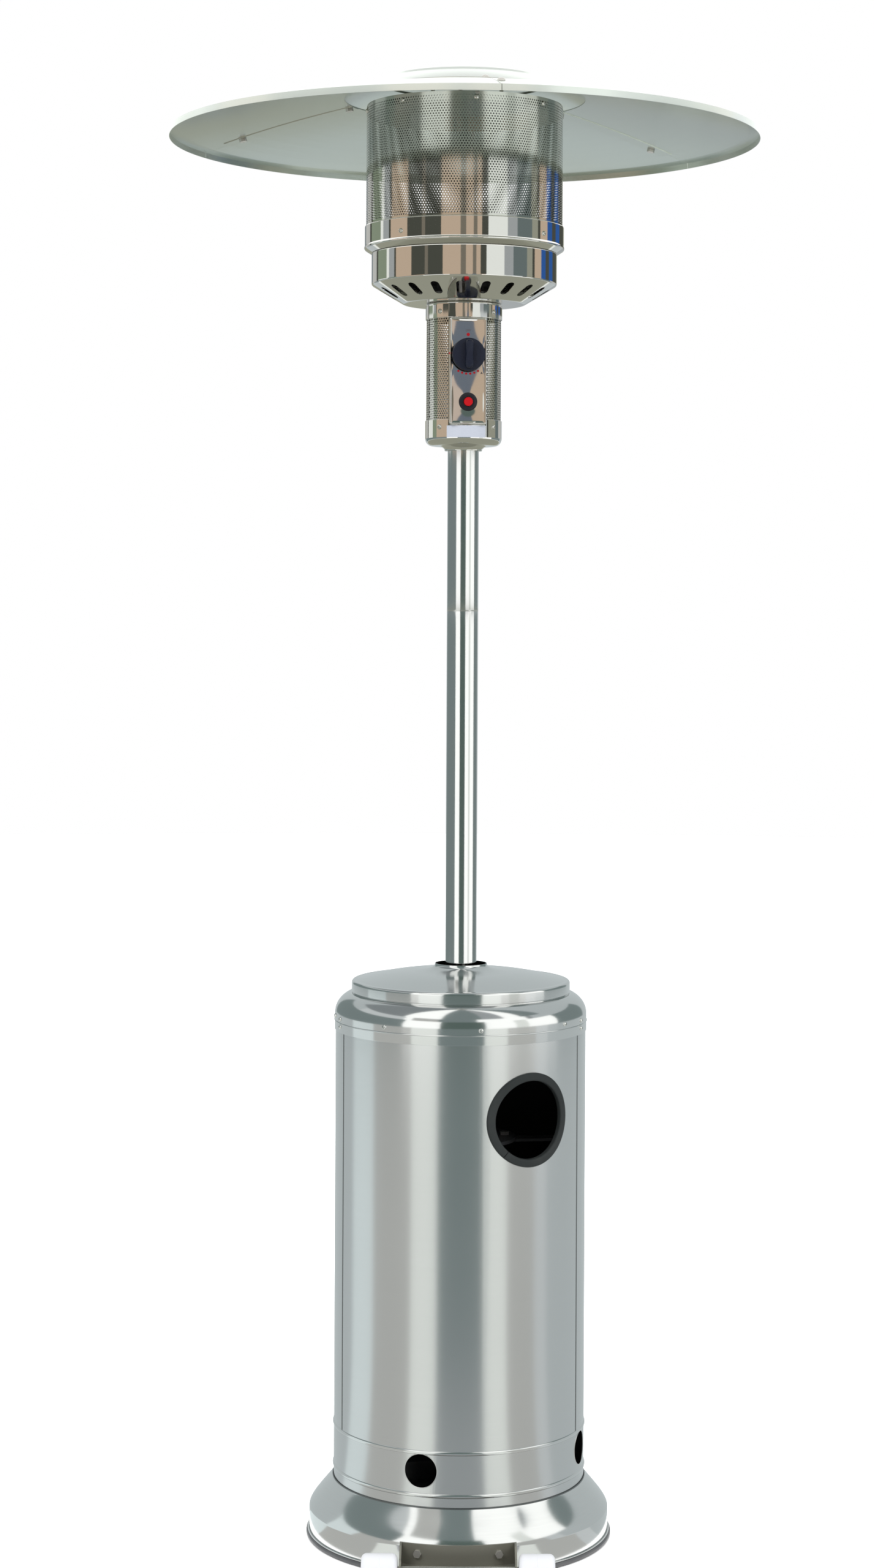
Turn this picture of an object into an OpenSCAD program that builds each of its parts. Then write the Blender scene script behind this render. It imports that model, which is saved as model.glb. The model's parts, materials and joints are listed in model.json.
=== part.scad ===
// Freestanding patio heater: weighted base, lift-up cylinder housing, pole,
// control head, burner with emitter screen, and a three-panel reflector.
// Millimetres, +Z up, front towards -Y, origin under the centre of the base.

/* [Base] */
// Outer diameter of the base rim
base_d = 461; // [456:1:480]
// Height of the rolled rim
rim_h = 7; // [5:0.5:9]
// Thickness of the base plate above the floor
plate_t = 12; // [11:0.5:16]
// How far the rim stands out past the skirt
rim_w = 4.5; // [3.5:0.5:7]
// Height of the skirt's straight wall
skirt_wall_h = 34; // [28:1:40]
// Height of the skirt above the rim
skirt_h = 81.5; // [76:0.5:88]
// Thickness of the housing and base sheet
sheet = 1; // [0.8:0.1:1.2]

/* [Gas cylinder space] */
// Diameter of the gas cylinder that the legs stand around
tank_d = 310; // [300:1:312]
// Height of the gas cylinder
tank_h = 460; // [440:5:480]
// Space for the regulator above the cylinder
regulator_h = 118; // [100:1:130]
// Width of a leg
leg_w = 30; // [24:1:36]
// Thickness of a leg
leg_t = 4; // [3:0.5:5]
// Angle of the two side legs from the front one
leg_spread = 99; // [92:1:106]

/* [Housing] */
// Outer diameter of the cylinder housing
housing_d = 379; // [376:1:381]
// Height of the vented ring at the housing's foot
lower_ring_h = 91.5; // [84:0.5:98]
// Height of the two side walls that show above the vented ring
wall_h = 591.5; // [560:0.5:600]
// Diameter of a vent hole
vent_d = 49; // [40:1:52]
// Azimuth of the first vent hole
vent_az = -17; // [-22:1:-12]
// Azimuth of the two upright seams
seam_az = 67; // [62:1:72]
// Diameter of the hole cut for the hand hole's trim
hand_hole_d = 127; // [110:1:136]
// Width of the trim's lip, inside and outside the hole's edge
trim_lip = 6; // [4:0.5:7]
// Azimuth of the hand hole
hand_hole_az = 33; // [30:1:38]
// Height of the hand hole's centre above the vented ring
hand_hole_h = 479; // [460:1:485]
// Height of the shoulder above the walls
shoulder_h = 54.5; // [52:0.5:60]
// Height of the shoulder's straight skirt
shoulder_skirt_h = 23.5; // [21:0.5:27]

/* [Lid] */
// Outer diameter of the lid
lid_d = 331; // [324:1:334]
// Height of the lid's rim
lid_rim_h = 17.5; // [14:0.5:20]
// Rise of the lid from its rim to its neck
lid_rise = 15.5; // [12:0.5:20]
// Diameter of the lid's neck at its foot
neck_foot_d = 104; // [96:1:112]
// Inner diameter of the neck's mouth
neck_d = 77; // [70:1:82]
// Height of the neck
neck_h = 9; // [6:0.5:12]

/* [Pole] */
// Outer diameter of the pole
pole_d = 47.5; // [44:0.5:50]
// Wall of the pole
pole_wall = 1.5; // [1.2:0.1:2]
// Length of the pole
pole_l = 1071; // [1040:1:1120]
// Depth that the pole goes into the head's coupling
pole_in_coupling = 32; // [26:1:38]
// Height of the pole's socket
socket_h = 50; // [40:1:60]

/* [Control head] */
// Angle that the head is turned from the front
head_turn = 6.5; // [0:0.5:10]
// Outer diameter of the control cup and collar
cup_d = 116; // [114:1:120]
// Height of the coupling under the cup
coupling_h = 7.5; // [6:0.5:10]
// Height of the control cup
cup_h = 37.5; // [33:0.5:42]
// Height of the perforated control screen that shows
control_screen_h = 154; // [148:1:162]
// Outer diameter of the control screen
control_screen_d = 113; // [111:1:113]
// Height of the collar's straight side
collar_h = 21; // [17:1:25]
// Width of the control panel
panel_w = 56; // [50:1:60]
// Diameter of the control knob
knob_d = 50; // [44:1:52]
// Height of the knob's centre above the cup
knob_h = 96.5; // [92:0.5:102]
// Travel of the knob when it is pressed
knob_travel = 4; // [3:0.5:5]
// Diameter of the igniter's bezel
bezel_d = 28; // [24:1:32]
// Diameter of the igniter's button
button_d = 13.4; // [11:0.1:14]
// Height of the igniter's centre above the cup
igniter_h = 26; // [24:1:30]
// Travel of the igniter's button
button_travel = 4.5; // [3:0.5:5]

/* [Burner] */
// Diameter of the burner shell's flat floor
cone_foot_d = 184; // [176:1:192]
// Height of the vented cone
cone_h = 29; // [25:1:33]
// Outer diameter of the burner shell
shell_d = 281; // [277:1:284]
// Height of the burner shell above the cone
shell_h = 47.5; // [40:0.5:56]
// Number of slots round the cone
slot_count = 20; // [16:2:24]
// Length of a slot
slot_l = 30; // [24:1:34]
// Width of a slot
slot_w = 13; // [9:0.5:14]
// Outer diameter of the band round the emitter's foot
band_d = 302; // [301:1:306]
// Height of the band's sloped foot
band_foot_h = 8.5; // [6:0.5:11]
// Height of the band's straight side
band_h = 32; // [26:1:38]
// Outer diameter of the emitter screen
emitter_d = 298; // [296:1:298]
// Height of the emitter screen above its band
emitter_h = 182.5; // [170:0.5:200]
// Diameter of the burner's head
burner_d = 124; // [100:1:140]

/* [Reflector] */
// Outer diameter of the reflector
reflector_d = 894; // [860:1:920]
// Diameter of the opening inside the three panels
panel_hole_d = 366; // [350:1:380]
// Diameter of the disc over the middle
disc_d = 438; // [430:1:450]
// Height of the disc's crown above the panels' inner edge
crown_h = 41; // [36:1:48]
// Height of the reflector's inner edge above the emitter
reflector_gap = 11; // [8:1:16]
// Fall of a panel from its inner edge to its crease
reflector_fall = 51; // [44:1:58]
// Depth of the folded rim
rim_fold_h = 8.5; // [6:0.5:11]
// Width of the lap under each seam
lap_w = 16; // [14:1:18]

/* [Wheels] */
// Diameter of a wheel
wheel_d = 46; // [40:1:46]
// Width of a wheel
wheel_w = 52; // [40:1:60]
// Width over the bracket's two cheeks
bracket_w = 169; // [150:1:180]
// Diameter of the axle
axle_d = 10; // [8:0.5:12]
// Distance from the skirt's wall to the axle
axle_out = 44; // [42:1:50]

/* [Hidden] */
$fn = 64;

// Clearances and overruns
cut = 2;            // how far a cutter runs past what it cuts
drill = 8;          // how far a screw hole's cutter reaches to each side of the sheet
cover = 16;         // how far the hand hole's cutters reach to each side of the wall
fit = 0.15;         // gap all round between two pieces that are fastened together
running = 0.05;     // gap all round a shaft that turns or slides in a bore
rest_gap = 0.3;     // gap under the housing, which is lifted off and set down
sink = 0.4;         // how far two stretches of one sheet run into each other
curve_steps = 10;   // straight steps along a curved outline

// Base, from the floor up
base_r = base_d / 2;
skirt_r = base_r - rim_w;
rim_round = rim_h / 2 - sink;
plate_step_r = skirt_r - sheet - fit;
plate_recess_w = 34.5;
plate_recess_r = base_r - plate_recess_w;
plate_recess_h = 5;
skirt_z = rim_h;
skirt_top_z = skirt_z + skirt_h;
housing_r = housing_d / 2;
skirt_mouth_r = housing_r + sheet + rest_gap;
skirt_lip = 2.5;
seat_depth = 9;
seat_w = 12;
seat_z = skirt_top_z - seat_depth;
tank_room = 5;
leg_r = tank_d / 2 + tank_room;
leg_foot = 32;
leg_bend = 12;
foot_bolt_r = leg_r + leg_t + (leg_bend + leg_foot) / 2;
leg_z = plate_t;
leg_top_z = leg_z + tank_h + regulator_h + leg_t;
leg_arm_r = 50;
flange_r = 85;
flange_t = 5;
flange_z = leg_top_z;
flange_bolt_r = 68;
leg_azimuths = [0, leg_spread, -leg_spread];

// Where the curved outlines' handles lie, as shares of their pieces
skirt_wall_share = 0.52;
skirt_bend_share = 0.78;
skirt_mouth_share = 0.42;
shoulder_wall_share = 0.78;
shoulder_lid_share = 0.42;
shoulder_flat_share = 0.05;
lid_sweep_share = 3;
lid_foot_share = 0.15;
lid_near_share = 0.38;
lid_far_share = 0.72;
neck_share = 0.2;
wall_step_share = 0.15;
wall_root_share = 0.6;
coupling_share = 0.6;
head_port_share = 0.6;
fall_near_share = 0.25;
fall_far_share = 0.55;
third_share = 1 / 3;

// Screws, as shank radius, head radius and head height
m8 = [4, 7.5, 5];
m6 = [3, 6, 4];
m4 = [2, 3.7, 2.4];

// Pole and gas line
pole_r = pole_d / 2;
pole_z = flange_z + flange_t;
socket_wall = 3;
socket_r = pole_r + fit + socket_wall;
socket_screw_drop = 15;
socket_screw_z = pole_z + socket_h - socket_screw_drop;
socket_screw_az = [90, 270];
inlet_r = 13;
inlet_h = 22;
inlet_z = flange_z - inlet_h;
inlet_bore_r = 7.5;
inlet_bore_h = 14;
inlet_neck_r = 9.8;
inlet_neck_h = 18;
inlet_nut_r = 14;
gas_r = 5;
gas_wall = 1;
gas_socket_h = 10;
gas_tube_z = flange_z + inlet_neck_h - gas_socket_h;

// Housing, from its seat on the base
housing_z = seat_z + rest_gap;
bead_r = 1.4;
vent_rise = 62;
vent_z = housing_z + vent_rise;
vent_step = 90;
low_bead_rise = 26.5;
low_bead_z = housing_z + low_bead_rise;
wall_z = housing_z + lower_ring_h;
high_bead_z = wall_z - bead_r;
tongue_h = 12;
tongue_root = 2;
tongue_r = housing_r - sheet - fit;
wall_top_z = wall_z + wall_h;
seam_gap_a = 0.06;
wall_lap = 14;
wall_lap_a = wall_lap / housing_r * 180 / PI;
wall_lap_z = wall_z + tongue_h + cut;
shoulder_r = housing_r + sheet + rest_gap;
shoulder_top_z = wall_top_z + shoulder_h;
wall_tuck = 25.5;
wall_full_h = wall_h + wall_tuck;
shoulder_bead_rise = 14;
shoulder_bead_z = wall_top_z + shoulder_bead_rise;
shoulder_screw_rise = 21.5;
shoulder_screw_z = wall_top_z + shoulder_screw_rise;
shoulder_shank = 6;
joint_screw_rises = [8.5, 20];
shoulder_screw_az = 9;
shoulder_screw_n = 8;
joint_screw_az = 71;
hole_z = wall_z + hand_hole_h;
trim_depth = 4.5;
trim_in_r = hand_hole_d / 2 - trim_lip + sheet;

// Lid
lid_r = lid_d / 2;
lid_room = 1.5;
lid_z = shoulder_top_z + lid_room;
lid_rim_z = lid_z + lid_rim_h;
lid_round = 4;
lid_flat_w = 8;
lid_flat_r = lid_r - lid_flat_w;
neck_foot_z = lid_rim_z + lid_rise;
neck_top_z = neck_foot_z + neck_h;
lid_foot_r = neck_foot_d / 2 + lid_sweep_share * neck_h;
lid_foot_z = neck_foot_z - lid_foot_share * lid_rise;
lid_reach = third_share * (lid_flat_r - lid_foot_r);
neck_r = neck_d / 2;
tongue_in_lid_r = lid_r - sheet - rest_gap;
shoulder_mouth_r = lid_r + 3 * sheet;

// Control head
pole_top_z = pole_z + pole_l;
coupling_z = pole_top_z - pole_in_coupling;
coupling_foot_r = 28.5;
coupling_foot_h = 2.5;
coupling_top_r = 37;
sleeve_r = pole_r + fit + socket_wall;
sleeve_above = 20;
pole_stop = 4;
pole_stop_r = pole_r - pole_stop;
cup_z = coupling_z + coupling_h;
cup_r = cup_d / 2;
cup_round = 11;
cup_top_z = cup_z + cup_h;
cup_screw_drop = 11;
cup_screw_z = cup_top_z - cup_screw_drop;
head_shank = 3;
control_screen_r = control_screen_d / 2;
screen_sheet = 0.8;
screen_tuck = 7;
collar_z = cup_top_z + control_screen_h;
collar_round = 2.5;
collar_top_z = collar_z + collar_h + collar_round;
collar_screw_rise = 9;
collar_screw_z = collar_z + collar_screw_rise;
quarter_screws = [45, 135, 225, 315];
panel_drop = 8.5;
panel_under = 1;
panel_z = cup_top_z - panel_drop;
panel_h = control_screen_h + panel_drop - panel_under;
panel_face = control_screen_r + sheet + rest_gap;
panel_back = sqrt(pow(control_screen_r, 2) - pow(panel_w / 2, 2));
panel_border = 2.6;
panel_border_t = 1;
panel_corner = 4;
window_side = 4;
notch_gap = 0.4;

// Valve, knob and igniter, as distances from the pole's axis towards the panel
knob_z = cup_top_z + knob_h;
igniter_z = cup_top_z + igniter_h;
valve_w = 30;
valve_h = 42;
valve_front = 34;
valve_back = 10;
valve_boss_r = 11;
valve_port_r = 9;
valve_port_h = 12;
valve_z = knob_z - valve_h / 2;
valve_top_z = valve_z + valve_h + valve_port_h;
gas_tube_top_z = valve_z - valve_port_h + gas_socket_h;
plunger_r = 6;
plunger_l = 14;
plunger_front = panel_face - sheet - rest_gap;
plunger_back = plunger_front - plunger_l;
plunger_room = 1.5;
stem_r = 3;
stem_hole_r = 4;
stem_in_plunger = 9;
stem_in_knob = 9;
knob_r = knob_d / 2;
knob_back = panel_face + knob_travel + panel_border_t;
knob_skirt_h = 8;
knob_grip_w = 13;
knob_grip_h = 11;
knob_edge = 1.5;
knob_inset = 3;
switch_w = 20;
switch_h = 26;
switch_d = 16;
button_r = button_d / 2;
bezel_r = bezel_d / 2;
bezel_t = 4.5;
button_out = 4;
button_l = 13;
igniter_r = 9;
igniter_flange_r = 12;
igniter_flange_t = 3;
igniter_back = 18;
button_front = panel_face + bezel_t + button_out;
button_back = button_front - button_l;

// Burner, from the collar up
shell_z = collar_top_z;
shell_r = shell_d / 2;
cone_foot_r = cone_foot_d / 2;
cone_top_z = shell_z + cone_h;
shell_top_z = cone_top_z + shell_h;
shell_flange = 8;
slot_phase = 9;
cone_slope = atan(cone_h / (shell_r - cone_foot_r));
cone_mid_r = (cone_foot_r + shell_r) / 2;
cone_mid_z = shell_z + cone_h / 2;
burner_tube_r = 8;
burner_tube_wall = 1.2;
burner_tube_z = valve_top_z - gas_socket_h;
band_r = band_d / 2;
band_z = shell_top_z;
band_wide_z = band_z + band_foot_h;
band_top_z = band_wide_z + band_h;
band_lip = 1.2;
band_screw_rise = 12;
band_screw_z = band_wide_z + band_screw_rise;
band_shank = 5;
emitter_r = emitter_d / 2;
emitter_z = band_wide_z + rest_gap;
emitter_top_z = band_top_z + emitter_h;
top_flange_h = 14;
top_screw_drop = 9;
top_screw_z = emitter_top_z - top_screw_drop;
top_shank = 4;
top_screw_n = 8;
head_rise = 15;
head_z = cone_top_z + head_rise;
head_h = 30;
head_hub_h = 8;
head_wall = 2;
head_port_r = 2.5;
head_port_n = 24;
burner_r = burner_d / 2;
pilot_gap = 14;
pilot_reach = burner_r + pilot_gap;
pilot_step = 14;
thermocouple_r = 2;
electrode_r = 2.5;
electrode_wire_r = 1;
electrode_tip = 28;
pilot_h = head_h + head_z - shell_z;

// Reflector, from the emitter up
reflector_r = reflector_d / 2;
reflector_z = emitter_top_z + reflector_gap;
reflector_sheet = 1;
panel_in_r = panel_hole_d / 2;
crease_in = 17;
crease_r = reflector_r - crease_in;
fold_fall = 3;
rim_in_r = reflector_r - reflector_sheet;
seam_start = 6.5;
seam_az_step = 120;
lap_short = 6;
lap_end_r = crease_r - lap_short;
bolt_in = 8;
bolt_in_r = panel_in_r + bolt_in;
bolt_out = 54;
bolt_out_r = crease_r - bolt_out;
disc_r = disc_d / 2;
crown_step_r = 125;
crown_step_h = 2;
crown_power = 2.7;
stud_circle_r = 60;
stud_r = 3;
nut_r = 6;
nut_h = 5;
cap_h = 3;

// Wheels and bracket
wheel_r = wheel_d / 2;
wheel_round = 8;
wheel_lift = 3;
axle_r = axle_d / 2;
axle_reach = skirt_r + axle_out;
axle_z = wheel_r + wheel_lift;
bracket_t = 3;
bracket_in_r = skirt_r + rest_gap;
bracket_over_rim = 2;
bracket_low_z = rim_h + bracket_over_rim;
bracket_top_z = 48;
bracket_x = bracket_w / 2;
cheek_nose_r = 15;
cheek_root_y = -sqrt(pow(bracket_in_r + bracket_t, 2) - pow(bracket_x, 2)) + bracket_t;
pan_drop = 6;
pan_z = axle_z - axle_r - pan_drop;
pan_bend = 8;
pan_room = 4;
pan_front = axle_reach + axle_r + pan_room;
pan_lip_over = 1;
pan_lip_z = axle_z + axle_r + pan_lip_over;
wheel_gap = 2;
wheel_recess_r = 9;
wheel_recess = 6;
axle_cap_r = 8;
axle_cap_h = 3;
axle_half = bracket_x + wheel_gap + wheel_w - wheel_recess + axle_cap_h;
bracket_bolt_x = 58;
bracket_bolt_z = 34;

// Point on a cubic curve, with t from 0 at the first point to 1 at the last
function curve_at(a, b, c, d, t) =
  pow(1 - t, 3) * a + 3 * pow(1 - t, 2) * t * b + 3 * (1 - t) * t * t * c + pow(t, 3) * d;
function after_first(p) = [for (i = [1 : len(p) - 1]) p[i]];
function curve(a, b, c, d) = [for (i = [0 : curve_steps]) curve_at(a, b, c, d, i / curve_steps)];
// Points on an arc, from one angle to another
function arc(x, y, r, from, to) =
  [for (i = [0 : curve_steps]) let (a = from + (to - from) * i / curve_steps)
    [x + r * cos(a), y + r * sin(a)]];
// An outline made into a sheet: the same line again, one thickness to its left
function unit(v) = v / norm(v);
function left(v) = [-v[1], v[0]];
function side(p, i) = left(unit(p[i + 1] - p[i]));
function mitre(p, i, t) =
  let (a = side(p, max(i - 1, 0)), b = side(p, min(i, len(p) - 2))) t * (a + b) / (1 + a * b);
function sheet_line(p, t) = concat(p, [for (i = [len(p) - 1 : -1 : 0]) p[i] + mitre(p, i, t)]);
function raised(p, h) = [for (q = p) q + [0, h]];

// A turned sheet, from an outline of radius and height
module spun(p, t) rotate_extrude() polygon(sheet_line(p, t));
// A bent strip that faces the front, from an outline of distance from the axis and height
module strip(p, t, w) rotate([0, 0, -90]) rotate([90, 0, 0])
  linear_extrude(height = w, center = true) polygon(sheet_line(p, t));
module ring(outer, inner, z, h) translate([0, 0, z]) difference() {
  cylinder(r = outer, h = h);
  translate([0, 0, -cut]) cylinder(r = inner, h = h + 2 * cut);
}
module at_azimuth(a) rotate([0, 0, a]) children();
module head_turned() rotate([0, 0, head_turn]) children();
// A round bar along the line from the axis to the front, between two distances
module outward(r, from, to) translate([0, -from, 0]) rotate([90, 0, 0]) cylinder(r = r, h = to - from);
// Places round the axis whose own +Z points outwards
module around(azimuths, r, z) for (a = azimuths) rotate([0, 0, a]) translate([0, -r, z])
  rotate([90, 0, 0]) children();
module screw_hole(size, gap) translate([0, 0, -drill]) cylinder(r = size[0] + gap, h = 2 * drill);
module domed_screw(size, shank) {
  translate([0, 0, -shank]) cylinder(r = size[0], h = shank + sink);
  rotate_extrude() intersection() {
    translate([0, -size[1]]) square([size[1], size[1] + size[2]]);
    polygon(concat([[0, 0]], [for (i = [0 : curve_steps]) let (a = 90 * i / curve_steps)
      [size[1] * cos(a), size[2] * sin(a)]]));
  }
}
module hex_bolt(size, shank) {
  translate([0, 0, -shank]) cylinder(r = size[0], h = shank + sink);
  cylinder(r = size[1], h = size[2], $fn = 6);
}
module rounded_rect(w, h, r) {
  square([w - 2 * r, h], center = true);
  square([w, h - 2 * r], center = true);
  for (x = [-1, 1]) for (y = [-1, 1]) translate([x * (w / 2 - r), y * (h / 2 - r)]) circle(r = r);
}

// Base
module base_plate() color("dimgray") difference() {
  rotate_extrude() polygon(concat(
    [[0, plate_recess_h], [plate_recess_r, plate_recess_h], [plate_recess_r, 0]],
    arc(base_r - rim_round, rim_round, rim_round, -90, 0),
    arc(base_r - rim_round, rim_h - rim_round, rim_round, 0, 90),
    [[plate_step_r, rim_h], [plate_step_r, plate_t], [0, plate_t]]));
  leg_foot_places() translate([0, 0, -plate_t]) cylinder(r = m8[0] + fit, h = plate_t + cut);
}
module leg_foot_places() for (a = leg_azimuths) at_azimuth(a)
  translate([0, -foot_bolt_r, plate_t]) children();
module leg_arm_places() for (a = leg_azimuths) at_azimuth(a)
  translate([0, -flange_bolt_r, leg_top_z]) children();

skirt_line = concat(
  [[skirt_r + skirt_lip, skirt_z + sheet], [skirt_r, skirt_z + sheet]],
  curve([skirt_r, skirt_z + skirt_wall_h], [skirt_r, skirt_z + skirt_wall_share * skirt_h],
    [housing_r + skirt_mouth_share * (skirt_r - housing_r), skirt_z + skirt_bend_share * skirt_h],
    [skirt_mouth_r, skirt_top_z]));
module base_skirt() color("silver") difference() {
  union() {
    spun(skirt_line, sheet);
    spun([[skirt_mouth_r - sheet - seat_w, seat_z - sheet],
      [skirt_mouth_r - sheet / 2, seat_z - sheet],
      [skirt_mouth_r - sheet / 2, skirt_top_z - sheet / 2]], sheet / 2);
    ring(skirt_mouth_r, skirt_mouth_r - sheet - seat_w, seat_z - sheet, sheet);
  }
  bracket_bolt_places() screw_hole(m6, fit);
}

// Legs round the gas cylinder
module leg(a) color("dimgray") at_azimuth(a) difference() {
  strip(concat([[leg_r + leg_t + leg_foot, leg_z + leg_t]],
    arc(leg_r + leg_t + leg_bend, leg_z + leg_t + leg_bend, leg_bend, 270, 180),
    arc(leg_r - leg_bend, leg_top_z - leg_bend - leg_t, leg_bend + leg_t, 0, 90),
    [[leg_arm_r, leg_top_z]]), leg_t, leg_w);
  translate([0, -foot_bolt_r, leg_z]) screw_hole(m8, fit);
  translate([0, -flange_bolt_r, leg_top_z]) screw_hole(m8, fit);
}
module leg_front() leg(leg_azimuths[0]);
module leg_left() leg(leg_azimuths[2]);
module leg_right() leg(leg_azimuths[1]);
module leg_bolts() color("gray") {
  leg_foot_places() translate([0, 0, leg_t]) hex_bolt(m8, leg_t + plate_t - plate_recess_h);
  leg_arm_places() translate([0, 0, flange_t]) {
    hex_bolt(m8, flange_t + leg_t + m8[2]);
    translate([0, 0, -flange_t - leg_t - m8[2]]) cylinder(r = m8[1], h = m8[2], $fn = 6);
  }
}
module pole_flange() color("dimgray") difference() {
  union() {
    translate([0, 0, flange_z]) cylinder(r = flange_r, h = flange_t);
    translate([0, 0, pole_z]) cylinder(r = socket_r, h = socket_h);
  }
  translate([0, 0, pole_z]) cylinder(r = pole_r + fit, h = socket_h + cut);
  translate([0, 0, flange_z - cut]) cylinder(r = inlet_neck_r + fit, h = flange_t + 2 * cut);
  leg_arm_places() screw_hole(m8, fit);
  around(socket_screw_az, socket_r, socket_screw_z) screw_hole(m6, fit);
}
module socket_screws() color("gray") around(socket_screw_az, socket_r, socket_screw_z)
  hex_bolt(m6, socket_wall);

// Pole and gas line
module pole() color("silver") ring(pole_r, pole_r - pole_wall, pole_z, pole_l);
module gas_inlet() color("goldenrod") difference() {
  union() {
    translate([0, 0, inlet_z]) cylinder(r = inlet_r, h = inlet_h, $fn = 6);
    translate([0, 0, flange_z - sink]) cylinder(r = inlet_neck_r, h = inlet_neck_h + sink);
    translate([0, 0, pole_z]) cylinder(r = inlet_nut_r, h = m8[2], $fn = 6);
  }
  translate([0, 0, inlet_z - cut]) cylinder(r = inlet_bore_r, h = inlet_bore_h + cut);
  translate([0, 0, inlet_z]) cylinder(r = gas_r - gas_wall, h = inlet_h + inlet_neck_h + cut);
  translate([0, 0, gas_tube_z]) cylinder(r = gas_r + fit, h = gas_socket_h + cut);
}
module gas_tube() color("peru") ring(gas_r, gas_r - gas_wall, gas_tube_z, gas_tube_top_z - gas_tube_z);

// Wheels
module bracket_bolt_places() for (s = [-1, 1])
  rotate([0, 0, s * asin(bracket_bolt_x / bracket_in_r)])
    translate([0, -bracket_in_r - bracket_t, bracket_bolt_z]) rotate([90, 0, 0]) children();
module wheel_bracket() color("dimgray") difference() {
  union() {
    intersection() {
      ring(bracket_in_r + bracket_t, bracket_in_r, bracket_low_z, bracket_top_z - bracket_low_z);
      translate([-bracket_x, -axle_reach, 0]) cube([bracket_w, axle_reach, bracket_top_z]);
    }
    difference() {
      for (s = [-1, 1]) translate([s * (bracket_x - bracket_t / 2), 0, 0])
        rotate([90, 0, 90]) linear_extrude(height = bracket_t, center = true) cheek_outline();
      translate([0, 0, -cut]) cylinder(r = bracket_in_r, h = bracket_top_z + 2 * cut);
    }
    difference() {
      translate([-bracket_x, 0, 0]) rotate([90, 0, 90]) linear_extrude(height = bracket_w)
        polygon(sheet_line(pan_line, bracket_t));
      translate([0, 0, -cut]) cylinder(r = bracket_in_r, h = bracket_top_z + 2 * cut);
    }
  }
  bracket_bolt_places() screw_hole(m6, fit);
  translate([-bracket_w, -axle_reach, axle_z]) rotate([0, 90, 0])
    cylinder(r = axle_r + fit, h = 2 * bracket_w);
}
module cheek_outline() union() {
  translate([-axle_reach, axle_z]) circle(r = cheek_nose_r);
  polygon([[-axle_reach, axle_z - cheek_nose_r], [cheek_root_y, axle_z - cheek_nose_r],
    [cheek_root_y, bracket_top_z], [-bracket_in_r - bracket_t, bracket_top_z],
    [-axle_reach - cheek_nose_r * cos(45), axle_z + cheek_nose_r * sin(45)]]);
}
pan_line = concat([[-pan_front, pan_lip_z]],
  arc(-pan_front + pan_bend, pan_z + pan_bend, pan_bend, 180, 270),
  [[cheek_root_y, pan_z]]);
module bracket_bolts() color("gainsboro") bracket_bolt_places() {
  hex_bolt(m6, bracket_t + rest_gap + sheet + m6[2]);
  translate([0, 0, -bracket_t - rest_gap - sheet - m6[2] - fit]) cylinder(r = m6[1], h = m6[2], $fn = 6);
}
module wheel_axle() color("gray") translate([-axle_half, -axle_reach, axle_z]) rotate([0, 90, 0])
  cylinder(r = axle_r, h = 2 * axle_half);
module axle_caps() color("gray") for (s = [0, 180]) translate([0, -axle_reach, axle_z]) rotate([0, 90, s])
  ring(axle_cap_r, axle_r + fit / 3, axle_half - axle_cap_h, axle_cap_h);
module wheel(s) color("whitesmoke") translate([0, -axle_reach, axle_z]) rotate([0, 90, s]) difference() {
  translate([0, 0, bracket_x + wheel_gap]) rotate_extrude() polygon(concat(
    [[axle_r + running, 0]], arc(wheel_r - wheel_round, wheel_round, wheel_round, -90, 0),
    arc(wheel_r - wheel_round, wheel_w - wheel_round, wheel_round, 0, 90),
    [[wheel_recess_r, wheel_w], [wheel_recess_r, wheel_w - wheel_recess - rest_gap],
    [axle_r + running, wheel_w - wheel_recess - rest_gap]]));
}
module wheel_left() wheel(180);
module wheel_right() wheel(0);

// Housing
module bead(r, z) rotate_extrude() translate([r, z]) circle(r = bead_r);
module lower_ring() color("silver") difference() {
  union() {
    ring(housing_r, housing_r - sheet, housing_z, lower_ring_h);
    ring(tongue_r, tongue_r - sheet, wall_z - tongue_root, tongue_h + tongue_root);
    ring(housing_r - sheet / 2, tongue_r - sheet / 2, wall_z - tongue_root + sheet / 4, sheet / 2);
    difference() {
      union() {
        bead(housing_r - bead_r / 2, low_bead_z);
        bead(housing_r - bead_r / 2, high_bead_z - bead_r);
      }
      translate([0, 0, housing_z - cut]) cylinder(r = housing_r - sheet, h = lower_ring_h + 2 * cut);
    }
  }
  around([for (a = [0 : vent_step : 360 - vent_step]) vent_az + a], housing_r - drill, vent_z)
    cylinder(r = vent_d / 2, h = 2 * drill);
}
module wall_sector(from, to, outer, inner, z, h) rotate([0, 0, -90]) translate([0, 0, z])
  rotate_extrude(angle = to - from, start = from) translate([inner, 0]) square([outer - inner, h]);
module wall_screw_holes() {
  shoulder_screw_places() screw_hole(m4, fit);
  joint_screw_places() screw_hole(m4, fit);
}
module front_wall() color("silver") difference() {
  wall_sector(-seam_az + seam_gap_a, seam_az - seam_gap_a, housing_r, housing_r - sheet,
    wall_z, wall_full_h);
  around([hand_hole_az], housing_r - cover, hole_z) cylinder(r = hand_hole_d / 2, h = 2 * cover);
  wall_screw_holes();
}
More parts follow.
